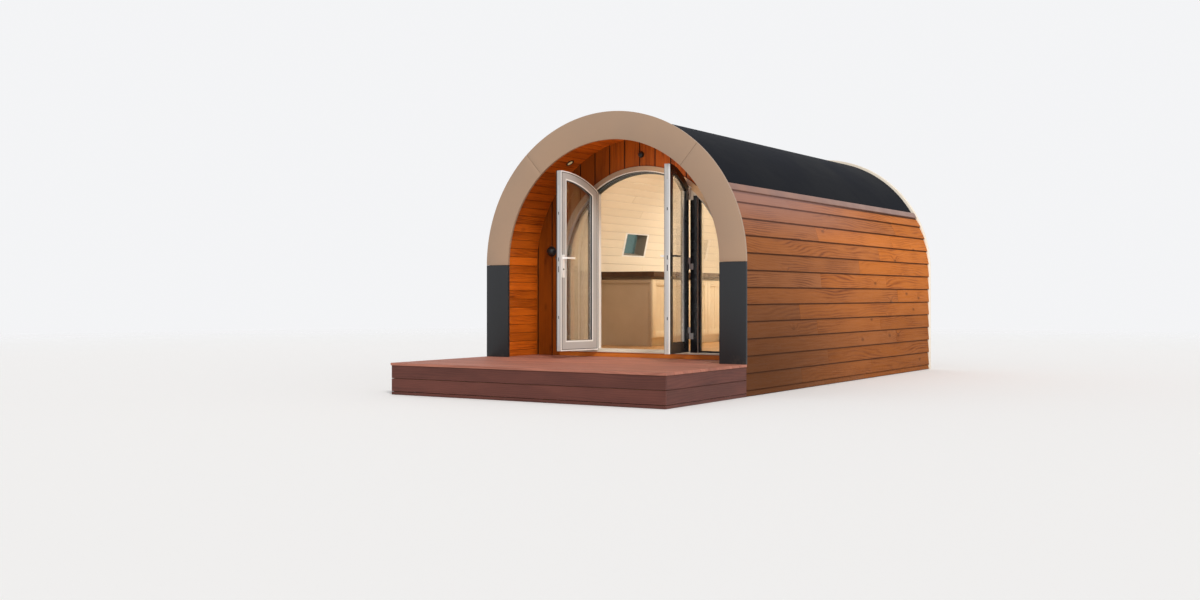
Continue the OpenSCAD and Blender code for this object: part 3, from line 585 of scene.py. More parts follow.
def arched_face(radius, x0, x1, foot, y):
    """A flat face at y, under the arc of a radius, between two uprights and down to the foot."""
    mesh = start_mesh()
    bmesh.ops.create_circle(mesh, cap_ends=True, radius=radius, segments=192,
                            matrix=Matrix.Translation((0, y, SPRING)) @ FACING_FRONT)
    cut(mesh, (0, 0, SPRING), (0, 0, -1), clear=True)
    bottom = [e for e in mesh.edges if all(abs(v.co.z - SPRING) < 1e-6 for v in e.verts)]
    raised = bmesh.ops.extrude_edge_only(mesh, edges=bottom)["geom"]
    bmesh.ops.translate(mesh, vec=(0, 0, foot - SPRING), verts=new_verts(raised))
    for x, side in ((x0, -1), (x1, 1)):
        cut(mesh, (x, 0, 0), (side, 0, 0), clear=True)
    bmesh.ops.dissolve_faces(mesh, faces=mesh.faces)
    return mesh


def arched_ring(radius, x0, x1, foot, y0, y1, width, foot_width=None, edge=0.0):
    """A frame of one width inside an arched outline, which no softened corner passes. Its foot may be deeper."""
    mesh = arched_face(radius, x0, x1, foot, y0)
    inner = mesh.faces[:]
    bmesh.ops.inset_region(mesh, faces=inner, thickness=width, use_even_offset=True, use_boundary=True)
    if foot_width:
        low = min(v.co.z for f in inner for v in f.verts)
        bmesh.ops.translate(mesh, vec=(0, 0, foot_width - width),
                            verts=list({v for f in inner for v in f.verts if v.co.z < low + 1e-4}))
    bmesh.ops.delete(mesh, geom=inner, context="FACES")
    thicken(mesh, y1 - y0)
    if edge:
        soften(mesh, edge)
        for vert in mesh.verts:
            vert.co.x = min(max(vert.co.x, x0), x1)
            reach = math.hypot(vert.co.x, vert.co.z - SPRING)
            if vert.co.z > SPRING and reach > radius:
                vert.co.z = SPRING + (vert.co.z - SPRING) * radius / reach
    return mesh


def link(name, data):
    made = bpy.data.objects.new(name, data)
    bpy.context.scene.collection.objects.link(made)
    return made


def piece(name, mesh, material, body="pod", replaces=()):
    """Makes an object of a mesh, shades it smooth up to 35 degrees, and ties it to its body."""
    bmesh.ops.recalc_face_normals(mesh, faces=mesh.faces)
    for face in mesh.faces:
        face.smooth = True
    for edge in mesh.edges:
        edge.smooth = len(edge.link_faces) == 2 and edge.calc_face_angle(0) < math.radians(35)
    data = bpy.data.meshes.new(name)
    mesh.to_mesh(data)
    mesh.free()
    data.materials.append(material)
    made = link(name, data)
    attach(made, body)
    if replaces:
        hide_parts(*replaces)


# ---------------------------------------------------------------- lapped boards, lining boards

def wall_point(s, out, radius):
    """Point on the right-hand wall: s up along it, out from a radius."""
    if s <= SPRING:
        return Vector((radius + out, 0, s))
    angle = (s - SPRING) / radius
    return Vector(((radius + out) * math.cos(angle), 0, SPRING + (radius + out) * math.sin(angle)))


def window_cut(side, radius, s0, s1):
    """The side window's stretch of a course on the left: (low, high) across the board, or None."""
    half = WINDOW_H / 2 / math.cos(WINDOW_ANGLE) * 0.98
    middle = SPRING + WINDOW_ANGLE * radius
    low, high = max(s0, middle - half), min(s1, middle + half)
    return (low - s0, high - s0) if side < 0 and high - low > 0.004 else None


def spans_whole(gap, width):
    """Whether the window takes so much of a course that what is left of it would be a splinter."""
    return gap[0] < 0.01 and gap[1] > width - 0.03


def course(mesh, place, joints, width, thick, rng, gap=None, fade_and_shade=None, edge=0.0012, joint=0.0012):
    """Boards end to end along the pod, with the window's opening cut out of the one that it meets."""
    for near, far in zip(joints, joints[1:]):
        tone, shift = rng.random(), figure_shift(rng)
        turn = fade_and_shade((near + far) / 2) if fade_and_shade else 0.0
        x0, x1 = stations(place, near + joint, far - joint)
        spans = [(x0, x1, None)]
        if gap:
            w0, w1 = stations(place, WINDOW_Y - WINDOW_L / 2, WINDOW_Y + WINDOW_L / 2)
            if x0 < w0 and w1 < x1:
                if spans_whole(gap, width):
                    spans = [(x0, w0, None), (w1, x1, None)]
                else:
                    spans = [(x0, x1, (w0, w1, (0, gap[1]) if gap[0] < 0.01 else (gap[0], width)))]
        for a, b, notch in spans:
            board(mesh, place, a, b, 0, width, thick, tone, turn, shift, edge, notch)


def lapped_cladding(side):
    """Lapped boards that follow the wall and then the vault, from the ground to the eave."""
    rng = random.Random(11 if side > 0 else 23)
    mesh = start_mesh()
    thick, base_gap, span = 0.0168, 0.0048, CLAD_END_Y - SHELL_Y
    eave_s = SPRING + math.radians(EAVE_FOOT) * BACK_R
    tail = BOARD_T * (1 + LAP / (COVER + LAP))
    lines = [0.0] + [FIRST_LAP + i * COVER for i in range(math.ceil((eave_s - FIRST_LAP) / COVER))] + [eave_s]

    # The second colour runs from the front to the rear: partly the boards' own fading, and partly painted shade at
    # the front against painted warm sunlight at the rear.
    def fade_and_shade(y):
        return min(1, max(0, 0.84 - (y - SHELL_Y) / 4.6 + rng.uniform(-0.15, 0.15)))

    for number, (s0, s1) in enumerate(zip(lines, lines[1:])):
        foot, head = wall_point(s0, 2 * BOARD_T, BACK_R), wall_point(s1, tail, BACK_R)
        across = head - foot
        outward = Vector((across.z, 0, -across.x))
        width = across.length + (LAP - 0.003 if s1 < eave_s else 0.0)
        if side < 0:
            foot.x, across.x, outward.x = -foot.x, -across.x, -outward.x
        joints = [SHELL_Y + span * rng.choice((0.24, 0.37, 0.45, 0.56, 0.68, 0.78)) + rng.uniform(-0.1, 0.1)]
        if number % 3 == 1:
            joints = [SHELL_Y + span * rng.uniform(0.2, 0.34), SHELL_Y + span * rng.uniform(0.6, 0.78)]
        gap = window_cut(side, BACK_R, s0, s1)
        if gap:
            joints = [SHELL_Y + span * rng.uniform(0.72, 0.8)]
        place = lay(foot, across, outward)
        if not number:
            place, width = place @ Matrix.Translation((0, base_gap, 0)), width - base_gap
        course(mesh, place, [SHELL_Y] + joints + [CLAD_END_Y], width, thick, rng, gap, fade_and_shade, 0.0010, 0.0005)
    name = ("right" if side > 0 else "left") + "_cladding"
    piece(name + "_boards", mesh, THERMOWOOD, replaces=[name])


def lining(name, radius, foot, y0, y1, pitch, thick, material, replaces, seed, stagger):
    """Narrow boards that line the inside of the arch, running along the pod."""
    rng = random.Random(seed)
    mesh = start_mesh()
    half_run = SPRING - foot + math.pi / 2 * radius
    count = round(half_run / pitch)
    for side in (1, -1):
        for i in range(count):
            s0, s1 = foot + i * half_run / count, foot + (i + 1) * half_run / count
            low, high = wall_point(s0, 0, radius), wall_point(s1, 0, radius)
            across = high - low
            inward = Vector((-across.z, 0, across.x))
            if side < 0:
                low.x, across.x, inward.x = -low.x, -across.x, -inward.x
            joints, gap = [], None
            if stagger:
                joints = [y0 + (y1 - y0) * rng.uniform(0.3, 0.7)]
                gap = window_cut(side, radius, s0, s1)
            if gap:
                joints = [y0 + (y1 - y0) * rng.uniform(0.68, 0.8)]
                if not spans_whole(gap, across.length):
                    gap = None if gap[1] - gap[0] < 0.5 * across.length else (0, across.length)
            place = lay(low, across, inward) @ Matrix.Translation((0, HAIR, 0))
            course(mesh, place, [y0] + joints + [y1], across.length - 2 * HAIR, thick, rng, gap, edge=0.0022)
    piece(name, mesh, material, replaces=replaces)


def upright_boards(name, facing, y, r0, r1, foot, material, replaces, seed, offset=0.0):
    """Upright boards with a groove between each two, filling an arch or the ring round the screen."""
    rng = random.Random(seed)
    mesh = start_mesh()
    count = math.ceil(r1 / UPRIGHT_PITCH)
    grain_up = Matrix(((0, 0, 1, 0), (1, 0, 0, 0), (0, 1, 0, 0), (0, 0, 0, 1)))
    for i in range(-count, count + 1):
        x0 = max(-r1, (i - 0.5) * UPRIGHT_PITCH + GROOVE / 2 + offset)
        x1 = min(r1, (i + 0.5) * UPRIGHT_PITCH - GROOVE / 2 + offset)
        if x1 - x0 < 0.012:
            continue
        for part_x0, part_x1, base in cut_by_screen(x0, x1, r0, foot):
            part = arched_face(r1, part_x0, part_x1, base, y)
            if base > foot + 0.001 or (r0 and abs(part_x0) < r0 and abs(part_x1) < r0):
                trim_under_arc(part, r0, y, part_x0, part_x1)
            if not part.faces:
                part.free()
                continue
            thicken(part, -facing * UPRIGHT_T)
            soften(part, 0.002)
            bmesh.ops.transform(part, matrix=grain_up, verts=part.verts)
            paint_board(part, rng.random(), 0.25 + 0.3 * rng.random(), figure_shift(rng))
            take_in(mesh, part, grain_up.inverted())
    piece(name, mesh, material, replaces=replaces)


def cut_by_screen(x0, x1, r0, foot):
    """Splits a board where it passes the screen's edge, so that each part has one foot."""
    if not r0 or min(abs(x0), abs(x1)) >= r0:
        return [(x0, x1, foot)]
    if max(abs(x0), abs(x1)) <= r0:
        return [(x0, x1, SPRING)]
    return [(x0, r0, SPRING), (r0, x1, foot)] if x1 > 0 else [(x0, -r0, foot), (-r0, x1, SPRING)]


def trim_under_arc(part, radius, y, x0, x1):
    """Cuts away what lies under the arc of a radius, one short chord after another."""
    steps, near = 6, 1e-5

    def between(low, high):
        return [f for f in part.faces if low - near < f.calc_center_median().x < high + near]

    for k in range(steps):
        a, b = (x0 + (x1 - x0) * j / steps for j in (k, k + 1))
        za, zb = (SPRING + math.sqrt(max(0, radius ** 2 - x * x)) for x in (a, b))
        if k:
            cut(part, (a, y, 0), (1, 0, 0))
        strip = between(a, x1)
        if k < steps - 1:
            cut(part, (b, y, 0), (1, 0, 0), strip)
            strip = between(a, b)
        cut(part, (a, y, za), Vector((zb - za, 0, a - b)).normalized(), strip)
    centre = Vector((0, y, SPRING))
    low = [f for f in part.faces if (f.calc_center_median() - centre).length < radius * 0.9985]
    bmesh.ops.delete(part, geom=low, context="FACES")
    if part.faces:
        bmesh.ops.dissolve_limit(part, angle_limit=0.002, verts=part.verts, edges=part.edges)


def build_shell():
    for side in (1, -1):
        lapped_cladding(side)
    lining("porch_lining_boards", PORCH_R + 0.001, DECK_UNDER_Z, SHELL_Y, WALL_Y - HAIR, 0.090, 0.013,
           PORCH_WOOD, ["left_porch_lining", "right_porch_lining", "porch_ceiling"],
           seed=5, stagger=False)
    lining("interior_boards", ROOM_R - 0.0075, FLOOR_Z, WALL_BACK_Y + 0.001, REAR_WALL_Y - 0.001, 0.095, 0.0072,
           CREAM_BOARD, [], seed=7, stagger=True)
    upright_boards("front_wall_boards", -1, WALL_Y, SCREEN_R + HAIR, ROOM_R - HAIR, DECK_UNDER_Z, SHADED_WALL_WOOD,
                   ["left_front_wall", "right_front_wall", "front_wall_head"],
                   seed=31, offset=0.069)
    upright_boards("rear_wall_boards", 1, CLAD_END_Y, 0, CLAD_IN_R - 2 * HAIR, 0.0, REAR_WOOD,
                   ["rear_wall"], seed=37)
    behind = UPRIGHT_T + 0.0002
    mesh = arch_bar(SCREEN_R + HAIR, ROOM_R - HAIR, WALL_Y + behind, WALL_BACK_Y, foot=DECK_UNDER_Z)
    paint_board(mesh, 0.5, 0, (3, 1))
    piece("front_wall_inner", mesh, CREAM_LINING)
    mesh = arched_face(CLAD_IN_R - 2 * HAIR, -CLAD_IN_R, CLAD_IN_R, 0.0, REAR_WALL_Y)
    thicken(mesh, CLAD_END_Y - behind - REAR_WALL_Y)
    paint_board(mesh, 0.5, 0, (9, 4))
    piece("rear_wall_inner", mesh, CREAM_LINING)

    mesh = arch_bar(CLAD_IN_R, MEMBRANE_R, SHELL_Y, CLAD_END_Y, a0=29.72, a1=150.28, steps=96)
    soften(mesh, 0.003)
    piece("roof_sheet", mesh, ROOF, replaces=["roof_membrane"])
    mesh = start_mesh()
    for a0, a1 in ((EAVE_FOOT, EAVE_TOP), (180 - EAVE_TOP, 180 - EAVE_FOOT)):
        part = arch_bar(CLAD_IN_R, TRIM_R, SHELL_Y, CLAD_END_Y, a0=a0, a1=a1, steps=6)
        soften(part, 0.003, 2)
        take_in(mesh, part)
    piece("eave_flashings", mesh, EAVE, replaces=["eave_trims"])
    mesh = arch_bar(TRIM_R - 0.097, TRIM_R, CLAD_END_Y + HAIR, REAR_Y, foot=0.0, steps=96)
    soften(mesh, 0.0025, 2)
    piece("rear_edge_trim", mesh, REAR_TRIM, replaces=["rear_trim"])
    mesh = start_mesh()
    joint, half_gap = 48.8, 0.04
    for a0, a1 in ((0, joint - half_gap), (joint + half_gap, 180 - joint - half_gap),
                   (180 - joint + half_gap, 180)):
        part = arch_bar(FASCIA_IN_R, OUTER_R, FRONT_Y, FRONT_Y + FASCIA_T, a0=a0, a1=a1,
                        steps=round((a1 - a0) / 2))
        soften(part, 0.002, 2)
        take_in(mesh, part)
    piece("fascia_panels", mesh, FASCIA,
          replaces=["left_fascia", "crown_fascia", "right_fascia"])
    mesh = start_mesh()
    pair_of_blocks(mesh, (FASCIA_IN_R, FRONT_Y, DECK_Z), (OUTER_R, FRONT_Y + FASCIA_T, SPRING - 0.002), 0.002, 2)
    piece("leg_panels", mesh, LEG, replaces=["left_leg_panel", "right_leg_panel"])


# ---------------------------------------------------------------- deck and floor

def build_deck():
    rng = random.Random(41)
    mesh = start_mesh()
    deck_pitch, deck_width, deck_t = 0.153, 0.147, 0.025
    for i in range(14):
        y0 = DECK_Y + i * deck_pitch
        y1 = min(y0 + deck_width, FRAME_Y - 0.006)
        half = OUTER_R if y1 < FRONT_Y + 0.031 else PORCH_R - 0.006
        plank(mesh, lay((0, y0, DECK_Z), (0, 1, 0), (0, 0, 1)), -half, half, 0, y1 - y0, deck_t, rng, 0.003)
    piece("deck_planks", mesh, DECK_BOARD, replaces=["deck_boards"])
    mesh = start_mesh()
    skirt_x, skirt_y, top = 1.492, DECK_Y + 0.008, DECK_UNDER_Z - HAIR
    skirt_pitch, skirt_width, skirt_t = 0.124, 0.120, 0.020
    for i in range(3):
        high = top - i * skirt_pitch
        low = max(0, high - skirt_width)
        place = lay((0, skirt_y, low), (0, 0, 1), (0, -1, 0))
        plank(mesh, place, -skirt_x, skirt_x, 0, high - low, skirt_t, rng, 0.0025)
        for side in (1, -1):
            place = lay((side * skirt_x, 0, low), (0, 0, 1), (side, 0, 0))
            x0, x1 = stations(place, skirt_y + skirt_t + HAIR, FRONT_Y + FASCIA_T)
            plank(mesh, place, x0, x1, 0, high - low, skirt_t, rng, 0.0025)
    piece("skirt_planks", mesh, SHADED_SKIRT_BOARD, replaces=["front_skirt", "side_skirts"])

    mesh = start_mesh()
    half, rows, gap, plank_t = ROOM_R - HAIR, 15, 0.0002, 0.020
    pitch = 2 * half / rows
    for i in range(rows):
        near = WALL_BACK_Y + HAIR
        joint = near + rng.uniform(0.7, 1.7)
        ends = [near, joint, joint + rng.uniform(1.3, 1.8), REAR_WALL_Y - HAIR]
        for near, far in zip(ends, ends[1:]):
            place = lay((-half + (i + 1) * pitch, 0, FLOOR_Z), (-1, 0, 0), (0, 0, 1))
            x0, x1 = stations(place, near + gap, far - gap)
            plank(mesh, place, x0, x1, gap, pitch - gap, plank_t, rng, 0.0008)
    part = block((-half, WALL_BACK_Y + HAIR, DECK_UNDER_Z), (half, REAR_WALL_Y - HAIR, FLOOR_Z - plank_t - gap), 0)
    paint_board(part, 0.2, 0, (2, 2))
    take_in(mesh, part)
    piece("oak_planks", mesh, OAK, replaces=["room_floor"])


# ---------------------------------------------------------------- screen and doors

def build_screen():
    """The fixed screen's dark strips, its taupe head strips that are a painted sky reflection, its white edge
    strips that are painted highlights, its gaskets and its sill; the frame itself is the CAD node.
    """
    front, back, head_r = FRAME_Y - 0.0025, FRAME_Y + 0.006, FRAME_IN_R + 0.020
    mesh = start_mesh()
    for a0, a1, r0 in ((0, 52.3, FRAME_IN_R), (52.3, 127.7, head_r), (127.7, 180, FRAME_IN_R)):
        part = arch_bar(r0 + 0.0075, SCREEN_R + 0.0002, front, back, a0=a0, a1=a1, steps=32)
        soften(part, 0.0015)
        take_in(mesh, part)
    # The head's taupe is a painted sky reflection.
    piece("head_cover_strips", mesh, HEAD_FRAME_REFLECTION)

    mesh = arch_bar(head_r - 0.0006, head_r + 0.0074, front - 0.0006, back + 0.010, a0=53.05, a1=126.95, steps=32)
    soften(mesh, 0.0012)
    top = SPRING + math.sqrt(FRAME_IN_R ** 2 - MULLION_X0 ** 2)
    for side in (1, -1):
        for low, high in (((MULLION_X0 - 0.0209, STOP_Y + 0.0004, SILL_Z + 0.018),
                           (MULLION_X0 - 0.0195, FRAME_BACK_Y + 0.0008, top)),
                          ((MULLION_X0 - 0.0008, back, SILL_Z), (MULLION_X0 + 0.0004, STOP_Y, top))):
            take_in(mesh, mirrored(block(low, high, 0.0004), side))
    # These white strips are painted highlights along the stop's edges.
    piece("screen_edge_strips", mesh, EDGE_HIGHLIGHT)

    mesh = start_mesh()
    for r0, r1, y0, y1, start in (
            (FRAME_IN_R - 0.0012, FRAME_IN_R + 0.0008, STOP_Y, FRAME_BACK_Y + 0.0008, 53.2),
            (head_r - 0.0012, head_r + 0.0004, back + 0.0102, STOP_Y + 0.0002, 53.6),
            (FRAME_IN_R - 0.0010, FRAME_IN_R + 0.0030, STOP_Y - 0.0010, STOP_Y + 0.0004, 53.6)):
        take_in(mesh, arch_bar(r0, r1, y0, y1, a0=start, a1=180 - start, steps=40))
    piece("head_lining", mesh, SLATE_FRAME)

    mesh = start_mesh()
    head = SPRING + math.sqrt((FRAME_IN_R + 0.004) ** 2 - MULLION_X1 ** 2)
    for side in (1, -1):
        for x0, x1, top in ((FRAME_IN_R - HAIR, SCREEN_R + 0.0002, SPRING),
                            (MULLION_X0 - HAIR, MULLION_X1 + HAIR, head)):
            take_in(mesh, mirrored(block((x0, front, SILL_Z), (x1, back, top)), side))
        bead = arched_ring(FRAME_IN_R + 0.0005, MULLION_X1 - 0.0005, FRAME_IN_R + 0.01, SILL_Z - 0.0005,
                           SIDE_GLASS_Y - 0.0105, SIDE_GLASS_Y - 0.0015, BEAD + 0.0008, edge=0.001)
        take_in(mesh, mirrored(bead, side))
    piece("screen_cover_strips", mesh, DARK_FRAME)

    mesh = start_mesh()
    for side in (1, -1):
        for y in (SIDE_GLASS_Y - SEAL_T, SIDE_GLASS_Y + GLASS_T):
            seal = arched_ring(FRAME_IN_R - 0.013, MULLION_X1 + 0.013, FRAME_IN_R, SILL_Z + 0.013,
                               y, y + SEAL_T, 0.005)
            take_in(mesh, mirrored(seal, side))
    seal = arch_bar(LEAF_R - 0.009, LEAF_R - 0.002, STOP_Y - 0.0035, STOP_Y, a0=53.6, a1=126.4, steps=36)
    soften(seal, 0.001)
    take_in(mesh, seal)
    pair_of_blocks(mesh, (MULLION_X0 - 0.0175, STOP_Y - 0.0035, SILL_Z + 0.012),
                   (MULLION_X0 - 0.0055, STOP_Y, 2.015), 0.001)
    piece("screen_gaskets", mesh, RUBBER)

    mesh = start_mesh()
    nose, half, drain_x = FRAME_Y - 0.012, MULLION_X0 - 0.0203, 0.014
    take_in(mesh, block((-SCREEN_R, nose, SILL_Z - 0.018), (SCREEN_R, FRAME_BACK_Y, SILL_Z), 0.003, 2))
    take_in(mesh, block((-half, STOP_Y, SILL_Z - 0.002), (half, FRAME_BACK_Y, SILL_Z + 0.018), 0.002, 2))
    for i in range(5):
        x = -0.80 + i * 0.40
        take_in(mesh, block((x - drain_x, nose - 0.0008, SILL_Z - 0.0125),
                            (x + drain_x, nose + 0.002, SILL_Z - 0.0075), 0.0006))
    piece("sill_nosing", mesh, SILL, replaces=["threshold"])
    mesh = block((-SCREEN_R, FRAME_Y, DECK_UNDER_Z), (SCREEN_R, FRAME_BACK_Y, SILL_Z - 0.0182), 0.003, 2)
    paint_board(mesh, 0.6, 0, (5, 2))
    piece("sill_timber", mesh, SILL_WOOD)


def swung(side):
    """Turns a piece that is drawn closed on the right-hand side to where its leaf stands open."""
    hinge = Vector((HINGE_X, HINGE_Y, 0))
    turn = Matrix.Translation(hinge) @ Matrix.Rotation(OPEN_ANGLE, 4, "Z") @ Matrix.Translation(-hinge)
    return turn if side > 0 else Matrix.Diagonal((-1, 1, 1, 1)) @ turn


def leaf_ring(inset, y0, y1, width, edge=0.0):
    """A ring that runs round the leaf's glazing opening, so far inside its edge."""
    return arched_ring(LEAF_R - STILE - inset, LEAF_X0 + STILE + inset, LEAF_X1 - STILE - inset,
                       LEAF_FOOT_Z + BOTTOM_RAIL + inset, y0, y1, width, edge=edge)


def build_leaf(side):
    """Dark cover strips outside, white inner strips that are painted highlights, gaskets, and lock furniture; the
    pale leaf itself is the CAD node.
    """
    name = "right" if side > 0 else "left"
    turn = swung(side)
    # The meeting edge leans a little, so what sits on it is drawn on its own x, inwards, and y, across the leaf.
    lean = math.atan2(0.0045, LEAF_T)
    edge_place = Matrix.Translation((LEAF_X0 + 0.00225, FRAME_Y + LEAF_T / 2, 0)) @ Matrix.Rotation(-lean, 4, "Z")

    def hang(suffix, mesh, material):
        bmesh.ops.transform(mesh, matrix=turn, verts=mesh.verts)
        piece(name + suffix, mesh, material, name + "_door")

    mesh = start_mesh()
    grow, lip_top, fin_top, plate_top = 0.0004, 2.207, 2.185, 2.06
    take_in(mesh, arched_ring(LEAF_R + grow, LEAF_X0 - grow, LEAF_X1 + grow, LEAF_FOOT_Z - grow, FRAME_Y - 0.003,
                              LEAF_GLASS_Y - 0.0085, STILE + 0.0018, BOTTOM_RAIL + 0.0018, edge=0.0012))
    take_in(mesh, leaf_ring(-0.001, LEAF_GLASS_Y - 0.0105, LEAF_GLASS_Y - SEAL_T, BEAD + 0.0018, 0.001))
    hang("_leaf_cover_strips", mesh, DARK_FRAME)

    seal_y = LEAF_GLASS_Y + GLASS_T
    # The white inner bead and lip are painted highlights on the leaf's inner face and meeting edge.
    hang("_leaf_inner_bead", leaf_ring(-0.0006, seal_y + SEAL_T, LEAF_INSIDE_Y - 0.0030, BEAD + 0.0018, 0.0015),
         EDGE_HIGHLIGHT)
    lip = arched_ring(LEAF_R, LEAF_X0 + 0.0047, LEAF_X1, LEAF_FOOT_Z, LEAF_INSIDE_Y - 0.0005,
                      LEAF_INSIDE_Y + 0.0008, 0.013, edge=0.0004)
    if side > 0:
        take_in(lip, block((-0.0012, -0.0288, LEAF_FOOT_Z + 0.001), (0.0004, -0.0150, lip_top), 0.0004),
                edge_place)
    hang("_leaf_lip", lip, EDGE_HIGHLIGHT)

    mesh = start_mesh()
    for y in (LEAF_GLASS_Y - SEAL_T, seal_y):
        take_in(mesh, leaf_ring(0.0135, y, y + SEAL_T, 0.004))
    rim = 0.0132
    take_in(mesh, arched_ring(LEAF_R - rim, LEAF_X0 + 0.0179, LEAF_X1 - rim, LEAF_FOOT_Z + rim,
                              LEAF_INSIDE_Y - 0.0005, LEAF_INSIDE_Y + 0.0020, 0.0055))
    take_in(mesh, leaf_ring(BEAD + 0.0010, seal_y + SEAL_T, LEAF_INSIDE_Y - 0.0040, 0.0016))
    if side > 0:
        take_in(mesh, block((LEAF_X0 + 0.0052, LEAF_INSIDE_Y, LEAF_FOOT_Z + 0.004),
                            (LEAF_X0 + 0.0112, LEAF_INSIDE_Y + 0.0045, fin_top), 0.001))
    hang("_leaf_gaskets", mesh, RUBBER)

    # the espagnolette's face plate, rollers and bolts along the meeting edge
    mesh = start_mesh()
    take_in(mesh, block((-0.0012, -0.008, LEAF_FOOT_Z + 0.05), (0.0008, 0.008, plate_top), 0.0005), edge_place)
    for z in (0.56, 0.98, 1.27, 1.62, 1.94):
        roller = start_mesh()
        spot = Matrix.Translation((-0.0022, 0, z)) @ Matrix.Rotation(math.radians(90), 4, "Y")
        bmesh.ops.create_cone(roller, cap_ends=True, segments=14, radius1=0.005, radius2=0.0045, depth=0.0035,
                              matrix=spot)
        take_in(mesh, roller, edge_place)
    hang("_lock_plate", mesh, STEEL)
    mesh = start_mesh()
    for z0, z1 in ((1.285, 1.325), (1.175, 1.235), (0.700, 0.730), (1.760, 1.790)):
        take_in(mesh, block((-0.0018, -0.0045, z0), (0.0004, 0.0045, z1), 0.0006), edge_place)
    for y in (FRAME_Y - 0.0082, LEAF_INSIDE_Y + 0.0082):
        keyway = start_mesh()
        bmesh.ops.create_cone(keyway, cap_ends=True, segments=24, radius1=0.0085, radius2=0.0085, depth=0.006,
                              matrix=Matrix.Translation((LEAF_X0 + STILE / 2, y, 1.205)) @ FACING_FRONT)
        soften(keyway, 0.0012)
        take_in(mesh, keyway)
    hang("_lock_slots", mesh, BLACK)


# ---------------------------------------------------------------- kitchen, window and lights

def build_kitchen():
    panel_t, front_t = 0.0188, 0.019
    back_x, face_x = KITCHEN_BACK_X, KITCHEN_X - front_t
    under, top = FLOOR_Z + 0.100, FLOOR_Z + KITCHEN_H
    head, rail, strips = top - 0.036, 0.070, 5
    pitch = (KITCHEN_Y1 - KITCHEN_Y0) / UNITS
    mesh = start_mesh()
    take_in(mesh, block((back_x, KITCHEN_Y0 + panel_t, under), (face_x, KITCHEN_Y1 - panel_t, head), 0.001))
    take_in(mesh, block((back_x, KITCHEN_Y0 + 0.03, FLOOR_Z), (face_x - 0.050, KITCHEN_Y1 - 0.03, under), 0.001))
    for i in range(UNITS):
        near, far = KITCHEN_Y0 + i * pitch + 0.002, KITCHEN_Y0 + (i + 1) * pitch - 0.002
        inner_near, inner_far = near + rail, far - rail
        for y0, z0, y1, z1 in ((near, under, inner_near, head), (inner_far, under, far, head),
                               (inner_near, under, inner_far, under + rail),
                               (inner_near, head - rail, inner_far, head)):
            take_in(mesh, block((face_x, y0, z0), (KITCHEN_X, y1, z1), 0.0015, 2))
        for k in range(strips):
            y0, y1 = (inner_near + (inner_far - inner_near) * j / strips for j in (k, k + 1))
            take_in(mesh, block((face_x, y0, under + rail - 0.002), (KITCHEN_X - 0.009, y1, head - rail + 0.002),
                                0.003))
    piece("kitchen_cupboards", mesh, KITCHEN, replaces=["kitchen_units"])
    mesh = start_mesh()
    for y0, y1, field0, field1 in (
            (KITCHEN_Y0, KITCHEN_Y0 + panel_t, KITCHEN_Y0 + 0.012, KITCHEN_Y0 + panel_t),
            (KITCHEN_Y1 - panel_t, KITCHEN_Y1, KITCHEN_Y1 - panel_t, KITCHEN_Y1 - 0.012)):
        take_in(mesh, block((back_x, field0, FLOOR_Z), (face_x - 0.0010, field1, head - 0.001), 0.0012))
        take_in(mesh, block((back_x, y0, head - 0.040), (face_x - HAIR, y1, head), 0.0015, 2))
        take_in(mesh, block((face_x - 0.024, y0, FLOOR_Z), (face_x - 2 * HAIR, y1, head - 0.040), 0.0015, 2))
    piece("kitchen_end_panels", mesh, KITCHEN_END_SHADED)
    # Its dark colour is painted shade in the recess under the worktop.
    mesh = block((back_x, KITCHEN_Y0 + 0.014, head - 0.002), (face_x - 0.004, KITCHEN_Y1 - 0.014, top + 0.001), 0)
    piece("finger_strip", mesh, FINGER_RECESS_SHADE)

    mesh = start_mesh()
    rng = random.Random(53)
    staves, lip, gap = 9, 0.030, 0.0001
    width = (KITCHEN_X + lip - back_x) / staves
    for i in range(staves):
        place = lay((back_x + (i + 1) * width, 0, top + WORKTOP_T), (-1, 0, 0), (0, 0, 1))
        x0, x1 = stations(place, KITCHEN_Y0 - lip, KITCHEN_Y1 + lip)
        cuts = [x0, x0 + (x1 - x0) * rng.uniform(0.25, 0.75), x1]
        for a, b in zip(cuts, cuts[1:]):
            plank(mesh, place, a + gap, b - gap, gap, width - gap, WORKTOP_T, rng, 0.0006)
    piece("worktop_staves", mesh, WORKTOP_WOOD, replaces=["worktop"])


def build_window_reveal():
    """Thin lining boards round the side window's opening, from the glass to the room, in a grey that is painted
    shade.
    """
    mesh = start_mesh()
    half_y, half_z, r0, r1, t = WINDOW_L / 2 - 0.038, WINDOW_H / 2 - 0.038, ROOM_R - 0.010, 1.4515, 0.0016
    for y0, y1, z0, z1 in ((-half_y - t, -half_y + t, -half_z, half_z), (half_y - t, half_y + t, -half_z, half_z),
                           (-half_y, half_y, -half_z - t, -half_z + t), (-half_y, half_y, half_z - t, half_z + t)):
        take_in(mesh, block((-r1, y0, z0), (-r0, y1, z1), 0.0003))
    place = Matrix.Translation((0, WINDOW_Y, SPRING)) @ Matrix.Rotation(WINDOW_ANGLE, 4, "Y")
    bmesh.ops.transform(mesh, matrix=place, verts=mesh.verts)
    piece("side_window_reveal", mesh, SHADED_REVEAL)


